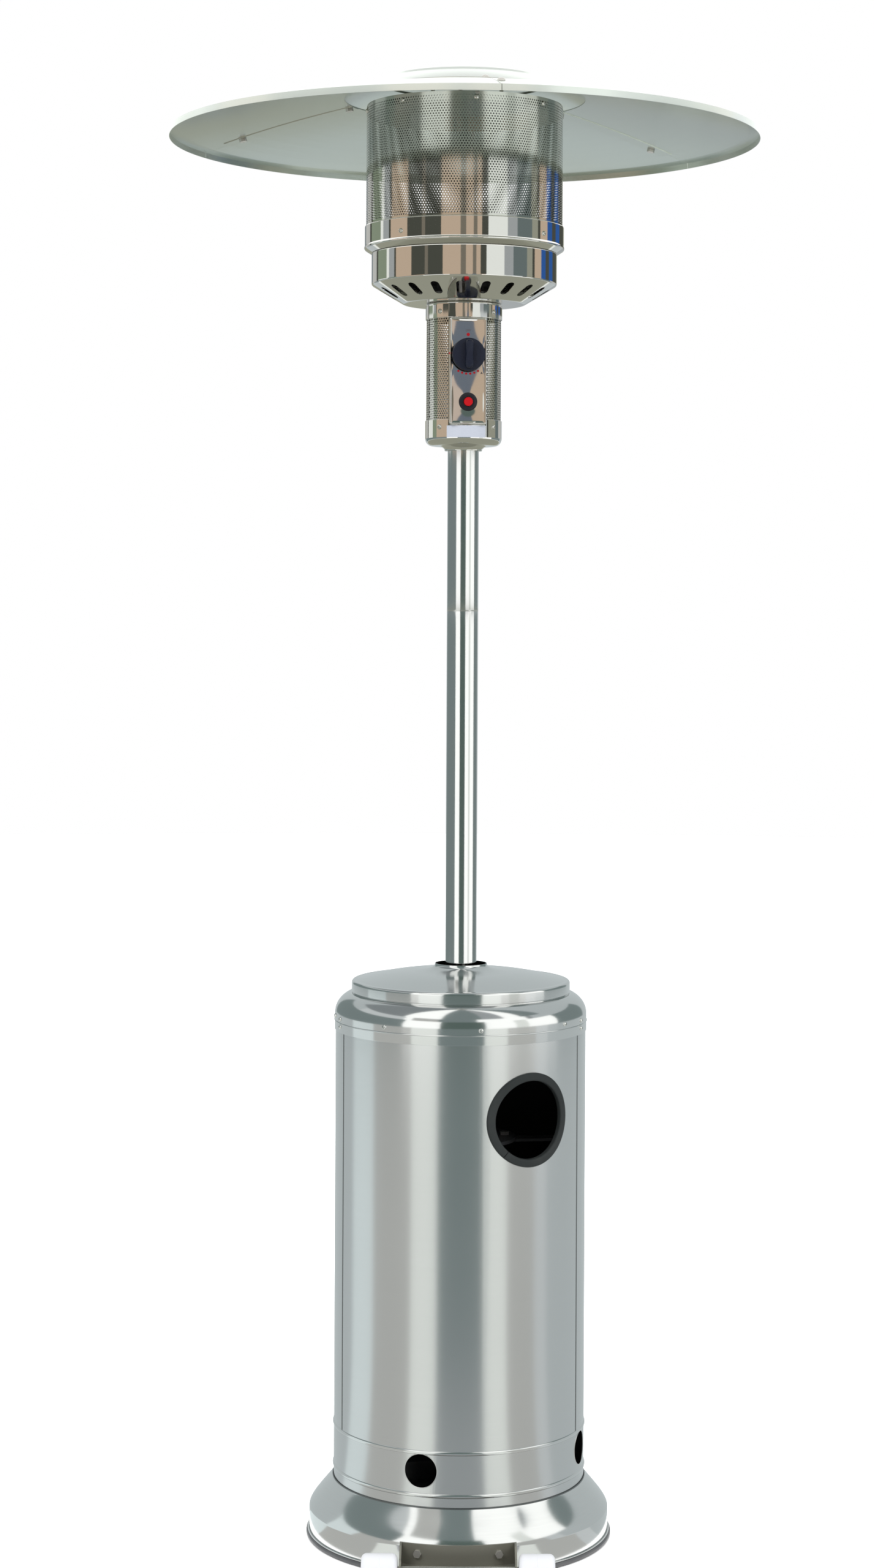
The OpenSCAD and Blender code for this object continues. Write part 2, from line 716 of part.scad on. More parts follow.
// The strip behind a seam: a step inwards from the rear wall, and a tongue under the front one
module wall_lap_strip(a) {
  wall_sector(a + wall_step_share * wall_lap_a, a + wall_lap_a / 2, housing_r - sheet / 2,
    housing_r - sheet - fit - sheet / 2, wall_lap_z + cut, wall_top_z + wall_tuck - wall_lap_z - 2 * cut);
  wall_sector(a - wall_lap_a, a + wall_root_share * wall_lap_a,
    housing_r - sheet - fit, housing_r - 2 * sheet - fit,
    wall_lap_z, wall_top_z + wall_tuck - wall_lap_z - cut / 2);
}
module rear_wall() color("silver") difference() {
  union() {
    wall_sector(seam_az, 360 - seam_az, housing_r, housing_r - sheet, wall_z, wall_full_h);
    wall_lap_strip(seam_az);
    mirror([1, 0, 0]) wall_lap_strip(seam_az);
  }
  wall_screw_holes();
}
shoulder_line = concat([[shoulder_r, wall_top_z]],
  curve([shoulder_r, wall_top_z + shoulder_skirt_h],
    [shoulder_r, wall_top_z + shoulder_wall_share * shoulder_h],
    [lid_r + shoulder_lid_share * (shoulder_r - lid_r), shoulder_top_z - shoulder_flat_share * shoulder_h],
    [shoulder_mouth_r, shoulder_top_z]),
  [[tongue_in_lid_r, shoulder_top_z], [tongue_in_lid_r, lid_rim_z - lid_round]]);
module shoulder_screw_places() around([for (i = [0 : shoulder_screw_n - 1])
  shoulder_screw_az + 360 / shoulder_screw_n * i], shoulder_r, shoulder_screw_z) children();
module joint_screw_places() for (rise = joint_screw_rises)
  around([-joint_screw_az, joint_screw_az], shoulder_r, wall_top_z + rise) children();
module shoulder_ring() color("silver") difference() {
  union() {
    spun(shoulder_line, sheet);
    difference() {
      bead(shoulder_r - bead_r / 2, shoulder_bead_z);
      translate([0, 0, wall_top_z]) cylinder(r = shoulder_r - sheet, h = shoulder_h);
    }
  }
  wall_screw_holes();
}
module shoulder_screws() color("gray") {
  shoulder_screw_places() domed_screw(m4, shoulder_shank);
  joint_screw_places() domed_screw(m4, shoulder_shank);
}
module lid() color("silver") spun(concat([[lid_r, lid_z]],
  arc(lid_r - lid_round, lid_rim_z - lid_round, lid_round, 0, 90),
  curve([lid_flat_r, lid_rim_z], [lid_flat_r - lid_reach, lid_rim_z + lid_near_share * lid_rise],
    [lid_foot_r + lid_reach, lid_rim_z + lid_far_share * lid_rise], [lid_foot_r, lid_foot_z]),
  after_first(curve([lid_foot_r, lid_foot_z], [neck_foot_d / 2, neck_foot_z],
    [neck_r + sheet, neck_foot_z + neck_share * neck_h], [neck_r + sheet, neck_top_z]))), sheet);
module hand_hole_trim() color("black") difference() {
  intersection() {
    ring(housing_r + trim_depth, housing_r - sheet - trim_depth, hole_z - hand_hole_d, 2 * hand_hole_d);
    around([hand_hole_az], housing_r / 2, hole_z) difference() {
      cylinder(r = hand_hole_d / 2 + trim_lip, h = housing_r);
      translate([0, 0, -cut]) cylinder(r = trim_in_r, h = housing_r + 2 * cut);
    }
  }
  intersection() {
    ring(housing_r + fit, housing_r - sheet - fit, hole_z - hand_hole_d, 2 * hand_hole_d);
    around([hand_hole_az], housing_r / 2, hole_z) difference() {
      cylinder(r = hand_hole_d / 2 + trim_lip + cut, h = housing_r);
      translate([0, 0, -cut]) cylinder(r = hand_hole_d / 2 - fit, h = housing_r + 2 * cut);
    }
  }
}

// Control head
module head_coupling() color("silver") rotate_extrude() polygon([
  [pole_r + fit, coupling_z],
  [coupling_foot_r, coupling_z],
  [coupling_foot_r, coupling_z + coupling_foot_h],
  [(coupling_foot_r + coupling_top_r) / 2, coupling_z + coupling_share * coupling_h],
  [coupling_top_r, cup_z],
  [sleeve_r, cup_z],
  [sleeve_r, pole_top_z + sleeve_above],
  [pole_stop_r, pole_top_z + sleeve_above],
  [pole_stop_r, pole_top_z + fit],
  [pole_r + fit, pole_top_z + fit]]);
module cup_screw_places() head_turned() around(quarter_screws, cup_r, cup_screw_z) children();
module collar_screw_places() head_turned() around(quarter_screws, cup_r, collar_screw_z) children();
module head_screw_holes() {
  cup_screw_places() screw_hole(m4, fit);
  collar_screw_places() screw_hole(m4, fit);
}
module panel_notch(gap) head_turned() translate([-panel_w / 2 - gap, -cup_r - cut, panel_z - gap])
  cube([panel_w + 2 * gap, cup_r, panel_h + 2 * gap]);
module control_cup() color("silver") difference() {
  spun(concat([[sleeve_r + fit, cup_z]], arc(cup_r - cup_round, cup_z + cup_round, cup_round, -90, 0),
    [[cup_r, cup_top_z]]), sheet);
  head_screw_holes();
  panel_notch(notch_gap);
}
module cup_screws() color("gainsboro") cup_screw_places() domed_screw(m4, head_shank);
module control_screen() color("darkgray") difference() {
  ring(control_screen_r, control_screen_r - screen_sheet, cup_top_z - 2 * screen_tuck,
    control_screen_h + 4 * screen_tuck);
  head_screw_holes();
  head_turned() translate([-panel_w / 2 + window_side, -cup_r, panel_z + window_side])
    cube([panel_w - 2 * window_side, cup_r, panel_h - 2 * window_side]);
}
module control_panel() color("silver") head_turned() difference() {
  union() {
    translate([0, -panel_face, panel_z + panel_h / 2]) rotate([90, 0, 0]) {
      translate([0, 0, -sheet]) linear_extrude(height = sheet) rounded_rect(panel_w, panel_h, panel_corner);
      linear_extrude(height = panel_border_t) difference() {
        rounded_rect(panel_w, panel_h, panel_corner);
        rounded_rect(panel_w - 2 * panel_border, panel_h - 2 * panel_border,
          panel_corner - panel_border / 2);
      }
      panel_depth = panel_face - panel_back;
      translate([0, 0, -panel_depth]) linear_extrude(height = panel_depth) difference() {
        rounded_rect(panel_w, panel_h, panel_corner);
        rounded_rect(panel_w - 2 * sheet, panel_h - 2 * sheet, panel_corner - sheet);
      }
    }
  }
  cylinder(r = control_screen_r + rest_gap, h = coupling_z + collar_top_z);
  translate([0, 0, knob_z]) outward(stem_hole_r, panel_back - cut, panel_face + cut);
  translate([0, 0, igniter_z]) outward(igniter_r + fit, panel_back - cut, panel_face + cut);
}
module control_collar() color("silver") difference() {
  spun(concat([[cup_r, collar_z]],
    arc(cup_r - collar_round, collar_top_z - collar_round, collar_round, 0, 90),
    [[burner_tube_r + fit, collar_top_z]]), sheet);
  head_screw_holes();
}
module collar_screws() color("gainsboro") collar_screw_places() domed_screw(m4, head_shank);

// Valve, knob and igniter
module gas_valve() color("goldenrod") head_turned() difference() {
  union() {
    translate([-valve_w / 2, -valve_front, valve_z]) cube([valve_w, valve_front + valve_back, valve_h]);
    translate([0, 0, knob_z]) outward(valve_boss_r, valve_front - sink, panel_face - sheet);
    translate([0, 0, valve_z - valve_port_h]) cylinder(r = valve_port_r, h = valve_h + 2 * valve_port_h);
  }
  translate([0, 0, knob_z])
    outward(plunger_r + running, plunger_back - knob_travel - plunger_room, panel_face);
  translate([0, 0, valve_z - valve_port_h - cut]) cylinder(r = gas_r + fit, h = gas_socket_h + cut);
  translate([0, 0, burner_tube_z]) cylinder(r = burner_tube_r + fit / 2, h = gas_socket_h + cut);
}
module tilt_switch() color("black") head_turned()
  translate([-switch_w / 2, valve_back, knob_z - switch_h / 2]) cube([switch_w, switch_d, switch_h]);
module valve_plunger() color("goldenrod") head_turned() translate([0, 0, knob_z]) difference() {
  outward(plunger_r, plunger_back, plunger_front);
  outward(stem_r + running, plunger_front - stem_in_plunger - running, plunger_front + cut);
}
module valve_stem() color("gray") head_turned() translate([0, 0, knob_z])
  outward(stem_r, plunger_front - stem_in_plunger, knob_back + stem_in_knob);
module on_panel(out, z) head_turned() translate([0, -out, z]) rotate([90, 0, 0]) children();
module control_knob() color("midnightblue") on_panel(knob_back, knob_z) difference() {
  union() {
    rotate_extrude() polygon(concat([[0, 0], [knob_r, 0]],
      arc(knob_r - knob_edge, knob_skirt_h - knob_edge, knob_edge, 0, 90), [[0, knob_skirt_h]]));
    translate([0, 0, knob_skirt_h - sink]) intersection() {
      translate([-knob_grip_w / 2, -knob_r, 0]) cube([knob_grip_w, knob_d, knob_grip_h + sink]);
      cylinder(r = knob_r - knob_inset, h = knob_grip_h + sink);
    }
  }
  translate([0, 0, -cut]) cylinder(r = stem_r + fit / 3, h = stem_in_knob + cut + running);
}
module igniter_body() color("black") head_turned() translate([0, 0, igniter_z]) difference() {
  union() {
    outward(igniter_r, igniter_back, panel_face);
    outward(igniter_flange_r, panel_face - sheet - igniter_flange_t, panel_face - sheet);
  }
  outward(button_r + running, button_back - button_travel - plunger_room, panel_face + cut);
}
module igniter_bezel() color("black") on_panel(panel_face, igniter_z)
  rotate_extrude() polygon(concat([[button_r + running, 0], [bezel_r, 0]],
    arc(bezel_r - bezel_t / 2, bezel_t / 2, bezel_t / 2, 0, 90), [[button_r + running, bezel_t]]));
module igniter_button() color("red") on_panel(button_back, igniter_z)
  rotate_extrude() polygon(concat([[0, 0], [button_r, 0]],
    arc(button_r - knob_edge, button_l - knob_edge, knob_edge, 0, 90), [[0, button_l]]));

// Burner
module slot_cutter() {
  for (s = [-1, 1]) translate([0, s * (slot_l - slot_w) / 2, 0])
    cylinder(r = slot_w / 2, h = 2 * drill, center = true);
  cube([slot_w, slot_l - slot_w, 2 * drill], center = true);
}
module burner_shell() color("silver") head_turned() difference() {
  spun([[burner_tube_r + fit, shell_z], [cone_foot_r, shell_z], [shell_r, cone_top_z],
    [shell_r, shell_top_z], [shell_r - shell_flange, shell_top_z]], sheet);
  for (i = [0 : slot_count - 1]) at_azimuth(slot_phase + 360 / slot_count * i)
    translate([0, -cone_mid_r, cone_mid_z]) rotate([-cone_slope, 0, 0]) slot_cutter();
}
module band_screw_places() head_turned() around(quarter_screws, band_r, band_screw_z) children();
module top_screw_places() head_turned() around([for (i = [0 : top_screw_n - 1]) 360 / top_screw_n * i],
  emitter_r, top_screw_z) children();
module emitter_band() color("silver") difference() {
  spun(concat([[shell_r - shell_flange, band_z], [shell_r + sheet, band_z], [band_r, band_wide_z]],
    [[band_r, band_top_z - band_lip], [band_r - band_lip, band_top_z]]), sheet);
  band_screw_places() screw_hole(m4, fit);
}
module band_screws() color("gainsboro") band_screw_places() domed_screw(m4, band_shank);
module emitter_screen() color("darkgray") difference() {
  ring(emitter_r, emitter_r - screen_sheet, emitter_z, emitter_top_z - emitter_z);
  band_screw_places() screw_hole(m4, fit);
  top_screw_places() screw_hole(m4, fit);
}
module screen_top_plate() color("darkgray") difference() {
  spun([[emitter_r - screen_sheet - fit, emitter_top_z - top_flange_h],
    [emitter_r - screen_sheet - fit, emitter_top_z], [0, emitter_top_z]], sheet);
  top_screw_places() screw_hole(m4, fit);
}
module top_screws() color("gainsboro") top_screw_places() domed_screw(m4, top_shank);
module burner_tube() color("gray") ring(burner_tube_r, burner_tube_r - burner_tube_wall, burner_tube_z,
  head_z + head_hub_h - burner_tube_z);
module burner_head() color("dimgray") translate([0, 0, head_z]) difference() {
  cylinder(r = burner_r, h = head_h);
  translate([0, 0, -cut]) cylinder(r = burner_tube_r + fit, h = head_hub_h + cut);
  difference() {
    translate([0, 0, head_wall]) cylinder(r = burner_r - head_wall, h = head_h - 2 * head_wall);
    cylinder(r = burner_tube_r + 2 * head_wall, h = head_hub_h);
  }
  around([for (i = [0 : head_port_n - 1]) 360 / head_port_n * i], burner_r - 2 * head_wall,
    head_port_share * head_h)
    cylinder(r = head_port_r, h = 4 * head_wall);
}
module on_shell_floor(x) head_turned() translate([x, -pilot_reach, shell_z + sheet]) children();
module pilot_burner() color("gray") on_shell_floor(0) {
  cylinder(r = stem_r, h = pilot_h);
  cylinder(r = 2 * stem_r, h = stem_r);
}
module thermocouple() color("peru") on_shell_floor(pilot_step) cylinder(r = thermocouple_r, h = pilot_h);
module spark_electrode() color("white") on_shell_floor(-pilot_step) {
  cylinder(r = electrode_r, h = pilot_h - electrode_tip);
  cylinder(r = electrode_wire_r, h = pilot_h);
}

// Reflector
reflector_line = concat(
  curve([panel_in_r, reflector_z],
    [panel_in_r + third_share * (crease_r - panel_in_r), reflector_z - fall_near_share * reflector_fall],
    [crease_r - third_share * (crease_r - panel_in_r), reflector_z - fall_far_share * reflector_fall],
    [crease_r, reflector_z - reflector_fall]));
rim_line = [[rim_in_r, reflector_z - reflector_fall - fold_fall],
  [rim_in_r, reflector_z - reflector_fall - fold_fall - rim_fold_h]];
function reflector_height(r) = lookup(r, reflector_line);
function reflector_slope(r) = atan((reflector_height(r - cut) - reflector_height(r + cut)) / (2 * cut));
disc_rise = reflector_sheet + fit;
bolt_shift = lap_w / 2;
lap_drop = reflector_sheet + fit;
module seam(i) rotate([0, 0, seam_start + seam_az_step * i]) children();
module panel_bolt_places(i, lift) seam(i) for (r = [bolt_in_r, bolt_out_r])
  translate([bolt_shift, -r, reflector_height(r)]) rotate([reflector_slope(r), 0, 0])
    translate([0, 0, r == bolt_in_r ? lift : reflector_sheet]) children();
module panel_bolt_holes() for (i = [0 : 2]) panel_bolt_places(i, disc_rise) screw_hole(m6, 2 * fit);
module lap(i) {
  lap_line = [for (q = reflector_line) if (q[0] < lap_end_r) q];
  intersection() {
    spun(raised(lap_line, -lap_drop), reflector_sheet);
    seam(i) translate([-lap_w / 2, -lap_end_r, reflector_z - 2 * reflector_fall])
      cube([lap_w + bolt_shift, lap_end_r, 3 * reflector_fall]);
  }
  intersection() {
    spun(raised(lap_line, -lap_drop), lap_drop + reflector_sheet / 2);
    seam(i) translate([-lap_w / 2, -lap_end_r, reflector_z - 2 * reflector_fall])
      cube([lap_w / 2 - fit, lap_end_r, 3 * reflector_fall]);
  }
}
module reflector_panel(i) color("gainsboro") difference() {
  union() {
    seam(i - 1) rotate([0, 0, -90 + seam_gap_a]) rotate_extrude(angle = seam_az_step - 2 * seam_gap_a)
      polygon(sheet_line(concat(reflector_line, rim_line), reflector_sheet));
    lap(i);
  }
  panel_bolt_holes();
}
module reflector_panel_1() reflector_panel(0);
module reflector_panel_2() reflector_panel(1);
module reflector_panel_3() reflector_panel(2);
function crown_height(r) = reflector_z + disc_rise + crown_h * (1 - pow(r / panel_in_r, crown_power));
disc_rim = [for (q = reflector_line) if (q[0] < disc_r) q + [0, disc_rise]];
module reflector_disc() color("gainsboro") difference() {
  spun(concat(
    [for (i = [0 : curve_steps]) let (r = crown_step_r * i / curve_steps) [r, crown_height(r)]],
    [for (i = [0 : curve_steps - 1]) let (r = crown_step_r + crown_step_h
      + (panel_in_r - crown_step_r - crown_step_h) * i / curve_steps) [r, crown_height(r) - crown_step_h
      * (1 - i / curve_steps)]],
    disc_rim, [[disc_r, reflector_height(disc_r) + disc_rise]]), reflector_sheet);
  panel_bolt_holes();
  stud_places() translate([0, 0, reflector_z]) cylinder(r = stud_r + 2 * fit, h = 2 * crown_h);
}
module stud_places() for (i = [0 : 2]) seam(i + 0.5) translate([0, -stud_circle_r, 0]) children();
nut_under_z = crown_height(stud_circle_r + nut_r) - nut_h - fit;
nut_over_z = crown_height(stud_circle_r - nut_r) + reflector_sheet + 2 * fit;
module reflector_studs() color("gray") stud_places() translate([0, 0, emitter_top_z])
  cylinder(r = stud_r, h = nut_over_z + cap_h / 2 - emitter_top_z);
module stud_nuts() color("gainsboro") stud_places() {
  difference() {
    translate([0, 0, nut_under_z]) cylinder(r = nut_r, h = nut_h, $fn = 6);
    translate([0, 0, nut_under_z - cut]) cylinder(r = stud_r + running, h = nut_h + 2 * cut);
  }
  difference() {
    translate([0, 0, nut_over_z]) {
      cylinder(r = nut_r, h = cap_h / 2, $fn = 6);
      domed_screw([nut_r / 2, nut_r - sheet, cap_h], 0);
    }
    translate([0, 0, nut_over_z - cut]) cylinder(r = stud_r + running, h = cap_h / 2 + cut + running);
  }
}
module panel_bolts() color("gray") for (i = [0 : 2]) seam(i) for (r = [bolt_in_r, bolt_out_r])
  translate([bolt_shift, -r, reflector_height(r)]) rotate([reflector_slope(r), 0, 0]) {
    top = (r == bolt_in_r ? disc_rise : 0) + reflector_sheet + fit;
    translate([0, 0, top]) domed_screw(m6, top + lap_drop + m6[2]);
    translate([0, 0, -lap_drop - fit - m6[2]]) cylinder(r = m6[1], h = m6[2], $fn = 6);
  }

base_plate();
base_skirt();
leg_front();
leg_left();
leg_right();
leg_bolts();
pole_flange();
socket_screws();
pole();
gas_inlet();
gas_tube();
wheel_bracket();
bracket_bolts();
wheel_axle();
axle_caps();
wheel_left();
wheel_right();
lower_ring();
front_wall();
rear_wall();
shoulder_ring();
lid();
hand_hole_trim();
shoulder_screws();
head_coupling();
control_cup();
cup_screws();
control_screen();
control_panel();
control_collar();
collar_screws();
gas_valve();
tilt_switch();
valve_plunger();
valve_stem();
control_knob();
igniter_body();
igniter_bezel();
igniter_button();
burner_shell();
emitter_band();
band_screws();
emitter_screen();
screen_top_plate();
top_screws();
burner_tube();
burner_head();
pilot_burner();
thermocouple();
spark_electrode();
reflector_studs();
stud_nuts();
reflector_disc();
reflector_panel_1();
reflector_panel_2();
reflector_panel_3();
panel_bolts();
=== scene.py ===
"""Looks of a freestanding patio heater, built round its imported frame.

Lengths are in metres unless a name ends in _mm, +Z is up and the front faces -Y.
An azimuth is measured from the front, positive towards +X.
"""

import json
import logging
import math
from collections.abc import Callable, Iterable, Sequence
from dataclasses import dataclass, field
from enum import Enum

import bmesh
import bpy
import numpy as np
from mathutils import Matrix, Vector

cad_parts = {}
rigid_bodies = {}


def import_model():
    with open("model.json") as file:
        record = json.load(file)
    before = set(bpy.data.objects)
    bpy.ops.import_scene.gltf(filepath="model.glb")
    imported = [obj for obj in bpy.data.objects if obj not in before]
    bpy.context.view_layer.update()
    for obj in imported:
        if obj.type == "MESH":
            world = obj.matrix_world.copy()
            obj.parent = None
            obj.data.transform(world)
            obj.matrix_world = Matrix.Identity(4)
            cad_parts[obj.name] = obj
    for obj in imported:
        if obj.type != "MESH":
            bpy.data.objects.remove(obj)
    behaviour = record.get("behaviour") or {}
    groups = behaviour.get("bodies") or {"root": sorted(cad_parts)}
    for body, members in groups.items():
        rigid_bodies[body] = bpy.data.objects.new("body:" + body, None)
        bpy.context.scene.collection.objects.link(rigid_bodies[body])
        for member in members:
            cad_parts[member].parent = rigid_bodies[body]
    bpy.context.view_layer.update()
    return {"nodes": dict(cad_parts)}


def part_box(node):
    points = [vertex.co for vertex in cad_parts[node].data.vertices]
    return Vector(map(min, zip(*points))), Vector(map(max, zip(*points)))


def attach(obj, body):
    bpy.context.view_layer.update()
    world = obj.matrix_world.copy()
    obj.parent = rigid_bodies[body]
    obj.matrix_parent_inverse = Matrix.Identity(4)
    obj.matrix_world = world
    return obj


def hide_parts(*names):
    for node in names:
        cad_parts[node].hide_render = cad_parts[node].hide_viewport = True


LOG = logging.getLogger("patio_heater")
MM = 0.001
MERGE = 1e-7
Point = tuple[float, float]
Spot = tuple[float, float, float]
Face = tuple[int, ...]
Outline = list[Point]
Colour = tuple[float, float, float]


# Shader maths


class Wire:
    """A node's output that takes part in Python arithmetic."""

    def __init__(self, graph: "Graph", socket: bpy.types.NodeSocket) -> None:
        """Wraps one output socket of a graph."""
        self.graph = graph
        self.socket = socket

    def _math(self, operation: str, first: "Value", second: "Value") -> "Wire":
        """Adds one Math node for two operands and returns its result."""
        return self.graph.node("ShaderNodeMath", {"operation": operation}, {0: first, 1: second})

    def __add__(self, other: "Value") -> "Wire":
        """self + other."""
        return self._math("ADD", self, other)

    def __radd__(self, other: "Value") -> "Wire":
        """other + self."""
        return self._math("ADD", other, self)

    def __sub__(self, other: "Value") -> "Wire":
        """self - other."""
        return self._math("SUBTRACT", self, other)

    def __rsub__(self, other: "Value") -> "Wire":
        """other - self."""
        return self._math("SUBTRACT", other, self)

    def __mul__(self, other: "Value") -> "Wire":
        """self * other."""
        return self._math("MULTIPLY", self, other)

    def __rmul__(self, other: "Value") -> "Wire":
        """other * self."""
        return self._math("MULTIPLY", other, self)

    def __truediv__(self, other: "Value") -> "Wire":
        """self / other."""
        return self._math("DIVIDE", self, other)

    def __pow__(self, other: "Value") -> "Wire":
        """self ** other."""
        return self._math("POWER", self, other)

    def over(self, limit: float) -> "Wire":
        """1 where self is over the limit, and else 0."""
        return self._math("GREATER_THAN", self, limit)


Value = Wire | float


class Graph:
    """One material's node tree, with a single way to add nodes."""

    def __init__(self, name: str) -> None:
        """Makes an empty material with an output node.

        Args:
            name: the material's name.
        """
        self.material = bpy.data.materials.new(name)
        self.material.use_nodes = True
        self.tree = self.material.node_tree
        self.tree.nodes.clear()
        self.output = self.tree.nodes.new("ShaderNodeOutputMaterial")

    def node(self, kind: str, settings: dict | None = None, sockets: dict | None = None,
             result: int | str = 0) -> Wire:
        """Adds a node.

        Args:
            kind: the node's type.
            settings: its own settings, set first.
            sockets: a value or a Wire for each input, by name or number.
            result: the output that is returned.

        Returns:
            That output as a Wire.
        """
        made = self.tree.nodes.new(kind)
        for key, value in (settings or {}).items():
            setattr(made, key, value)
        for key, value in (sockets or {}).items():
            if isinstance(value, Wire):
                self.tree.links.new(value.socket, made.inputs[key])
            else:
                made.inputs[key].default_value = value
        return Wire(self, made.outputs[result])

    def place(self) -> tuple[Wire, Wire, Wire]:
        """The surface point's x, y and z in the row frame."""
        where = self.node("ShaderNodeTexCoord", result="Object")
        split = self.node("ShaderNodeSeparateXYZ", sockets={0: where})
        return split, *(Wire(self, split.socket.node.outputs[i]) for i in (1, 2))

    def vector(self, x: Value, y: Value, z: Value) -> Wire:
        """A vector of three values."""
        return self.node("ShaderNodeCombineXYZ", sockets={0: x, 1: y, 2: z})

    def noise(self, vector: Wire, kind: "Speckle") -> Wire:
        """A noise value around 0.5."""
        return self.node("ShaderNodeTexNoise", {"noise_dimensions": "3D"},
                         {"Vector": vector, "Scale": kind.scale, "Detail": kind.detail,
                          "Roughness": kind.rough})

    def blend(self, factor: Value, first: Colour | Wire, second: Colour | Wire) -> Wire:
        """Mixes two colours: the first where the factor is 0, the second where it is 1."""
        ends = [c if isinstance(c, Wire) else (*c, 1.0) for c in (first, second)]
        return self.node("ShaderNodeMix", {"data_type": "RGBA"},
                         {0: factor, 6: ends[0], 7: ends[1]}, result=2)

    def bump(self, height: Wire, depth: float) -> Wire:
        """A normal bent by a height from 0 to 1, where 1 is the depth in metres."""
        return self.node("ShaderNodeBump", sockets={"Height": height, "Distance": depth, "Strength": 1.0})

    def surface(self, **sockets: Value | Colour | Wire) -> bpy.types.Material:
        """Ends the material in a Principled shader.

        Args:
            sockets: its inputs, with _ for the blanks of their names.

        Returns:
            The finished material.
        """
        named = {key.replace("_", " "): (*v, 1.0) if isinstance(v, tuple) and len(v) == 3 else v
                 for key, v in sockets.items()}
        shader = self.node("ShaderNodeBsdfPrincipled", sockets=named)
        self.tree.links.new(shader.socket, self.output.inputs["Surface"])
        return self.material


# Finishes


class Grain(Enum):
    """The way a metal was brushed, as how dense its marks are along x, y and z."""

    TURNED = (14.0, 14.0, 1500.0)
    UPRIGHT = (1800.0, 1800.0, 9.0)
    NONE = (240.0, 240.0, 240.0)


@dataclass(frozen=True)
class Speckle:
    """A kind of noise: its scale, its number of finer layers and their strength."""

    scale: float
    detail: float = 2.0
    rough: float = 0.5


SMUDGES = Speckle(9.0, 4.0, 0.6)
MARKS = Speckle(1.0, 3.0, 0.65)
PATCHES = Speckle(3.1, 3.0, 0.55)
WAVES = Speckle(5.0, 1.0)
CLOUDS = Speckle(14.0, 4.0, 0.6)
PAVING = Speckle(1.5, 3.0)


@dataclass(frozen=True)
class MetalFinish:
    """A bare or plated metal with its grain, smudges and wear, and where asked a painted shade on its inner
    side or back.

    Attributes:
        name: the material's name.
        colour: its reflectance.
        rough: its roughness.
        stretch: how far the grain stretches a reflection, from 0 to 1.
        grain: the grain's direction.
        grain_depth: the grain's depth in metres.
        grain_rough: how much the grain changes the roughness.
        smudge: how much handling marks change the roughness.
        tint: colour of the darker patches.
        wave: depth of the sheet's slow waves in metres.
        slot: its material slot in the record, where that has another name.
        painted_shade_colour: colour of the painted shade, dull and dark, that stands for the shade inside a
            sheet.
        painted_shade_rough: roughness of that painted shade.
        inner_r: reach from the axis under which the sheet's inner side gets the painted shade.
        painted_shade_back: whether the sheet's back gets the painted shade.
    """

    name: str
    colour: Colour
    rough: float
    stretch: float = 0.0
    grain: Grain = Grain.NONE
    grain_depth: float = 0.0
    grain_rough: float = 0.0
    smudge: float = 0.05
    tint: Colour | None = None
    wave: float = 0.0
    slot: str = ""
    painted_shade_colour: Colour = (0.012, 0.014, 0.014)
    painted_shade_rough: float = 0.6
    inner_r: float = 0.0
    painted_shade_back: bool = False

    def material(self) -> bpy.types.Material:
        """Builds the material."""
        graph = Graph(self.name)
        x, y, z = graph.place()
        spot = graph.vector(x, y, z)
        smudge = graph.noise(spot, SMUDGES)
        fine = graph.noise(self._grain_vector(graph, x, y, z), MARKS)
        patches = graph.noise(spot, PATCHES)
        tint = self.tint or tuple(0.86 * c for c in self.colour)
        colour = graph.blend((patches * 0.6 + fine * 0.5) - 0.2, self.colour, tint)
        rough = (smudge - 0.5) * self.smudge + self.rough
        if self.grain_rough:
            rough = rough + (fine - 0.5) * self.grain_rough
        height = fine * self.grain_depth
        if self.wave:
            height = height + graph.noise(spot, WAVES) * self.wave
        metallic: Value = 1.0
        # Painted shade: the sheet's inner side or back is made dull and dark in place of the shade that falls
        # inside.
        if self.inner_r or self.painted_shade_back:
            shown = self._shown(graph, x, y)
            colour = graph.blend(shown, self.painted_shade_colour, colour)
            rough = shown * (rough - self.painted_shade_rough) + self.painted_shade_rough
            metallic = shown
        sockets: dict = {"Base_Color": colour, "Roughness": rough, "Metallic": metallic}
        if self.grain_depth or self.wave:
            sockets["Normal"] = graph.bump(height / MM, MM)
        if self.stretch:
            sockets["Anisotropic"] = self.stretch
            sockets["Anisotropic_Rotation"] = 0.25 if self.grain is Grain.TURNED else 0.0
        return graph.surface(**sockets)

    def _shown(self, graph: Graph, x: Wire, y: Wire) -> Wire:
        """1 on the outer side of the sheet and 0 on the side with the painted shade.

        Args:
            graph: the material's graph.
            x: the point's x.
            y: the point's y.

        Returns:
            The share.
        """
        if self.painted_shade_back:
            return 1.0 - graph.node("ShaderNodeNewGeometry", result="Backfacing")
        return ((x * x + y * y) ** 0.5).over(self.inner_r)

    def _grain_vector(self, graph: Graph, x: Wire, y: Wire, z: Wire) -> Wire:
        """Where the grain's noise is read, so that its streaks run the right way.

        Args:
            graph: the material's graph.
            x: the point's x.
            y: the point's y.
            z: the point's z.

        Returns:
            The stretched place.
        """
        if self.grain is Grain.TURNED:
            z = z + (x * x + y * y) ** 0.5 * 0.8
        return graph.vector(*(way * dense for way, dense in zip((x, y, z), self.grain.value)))


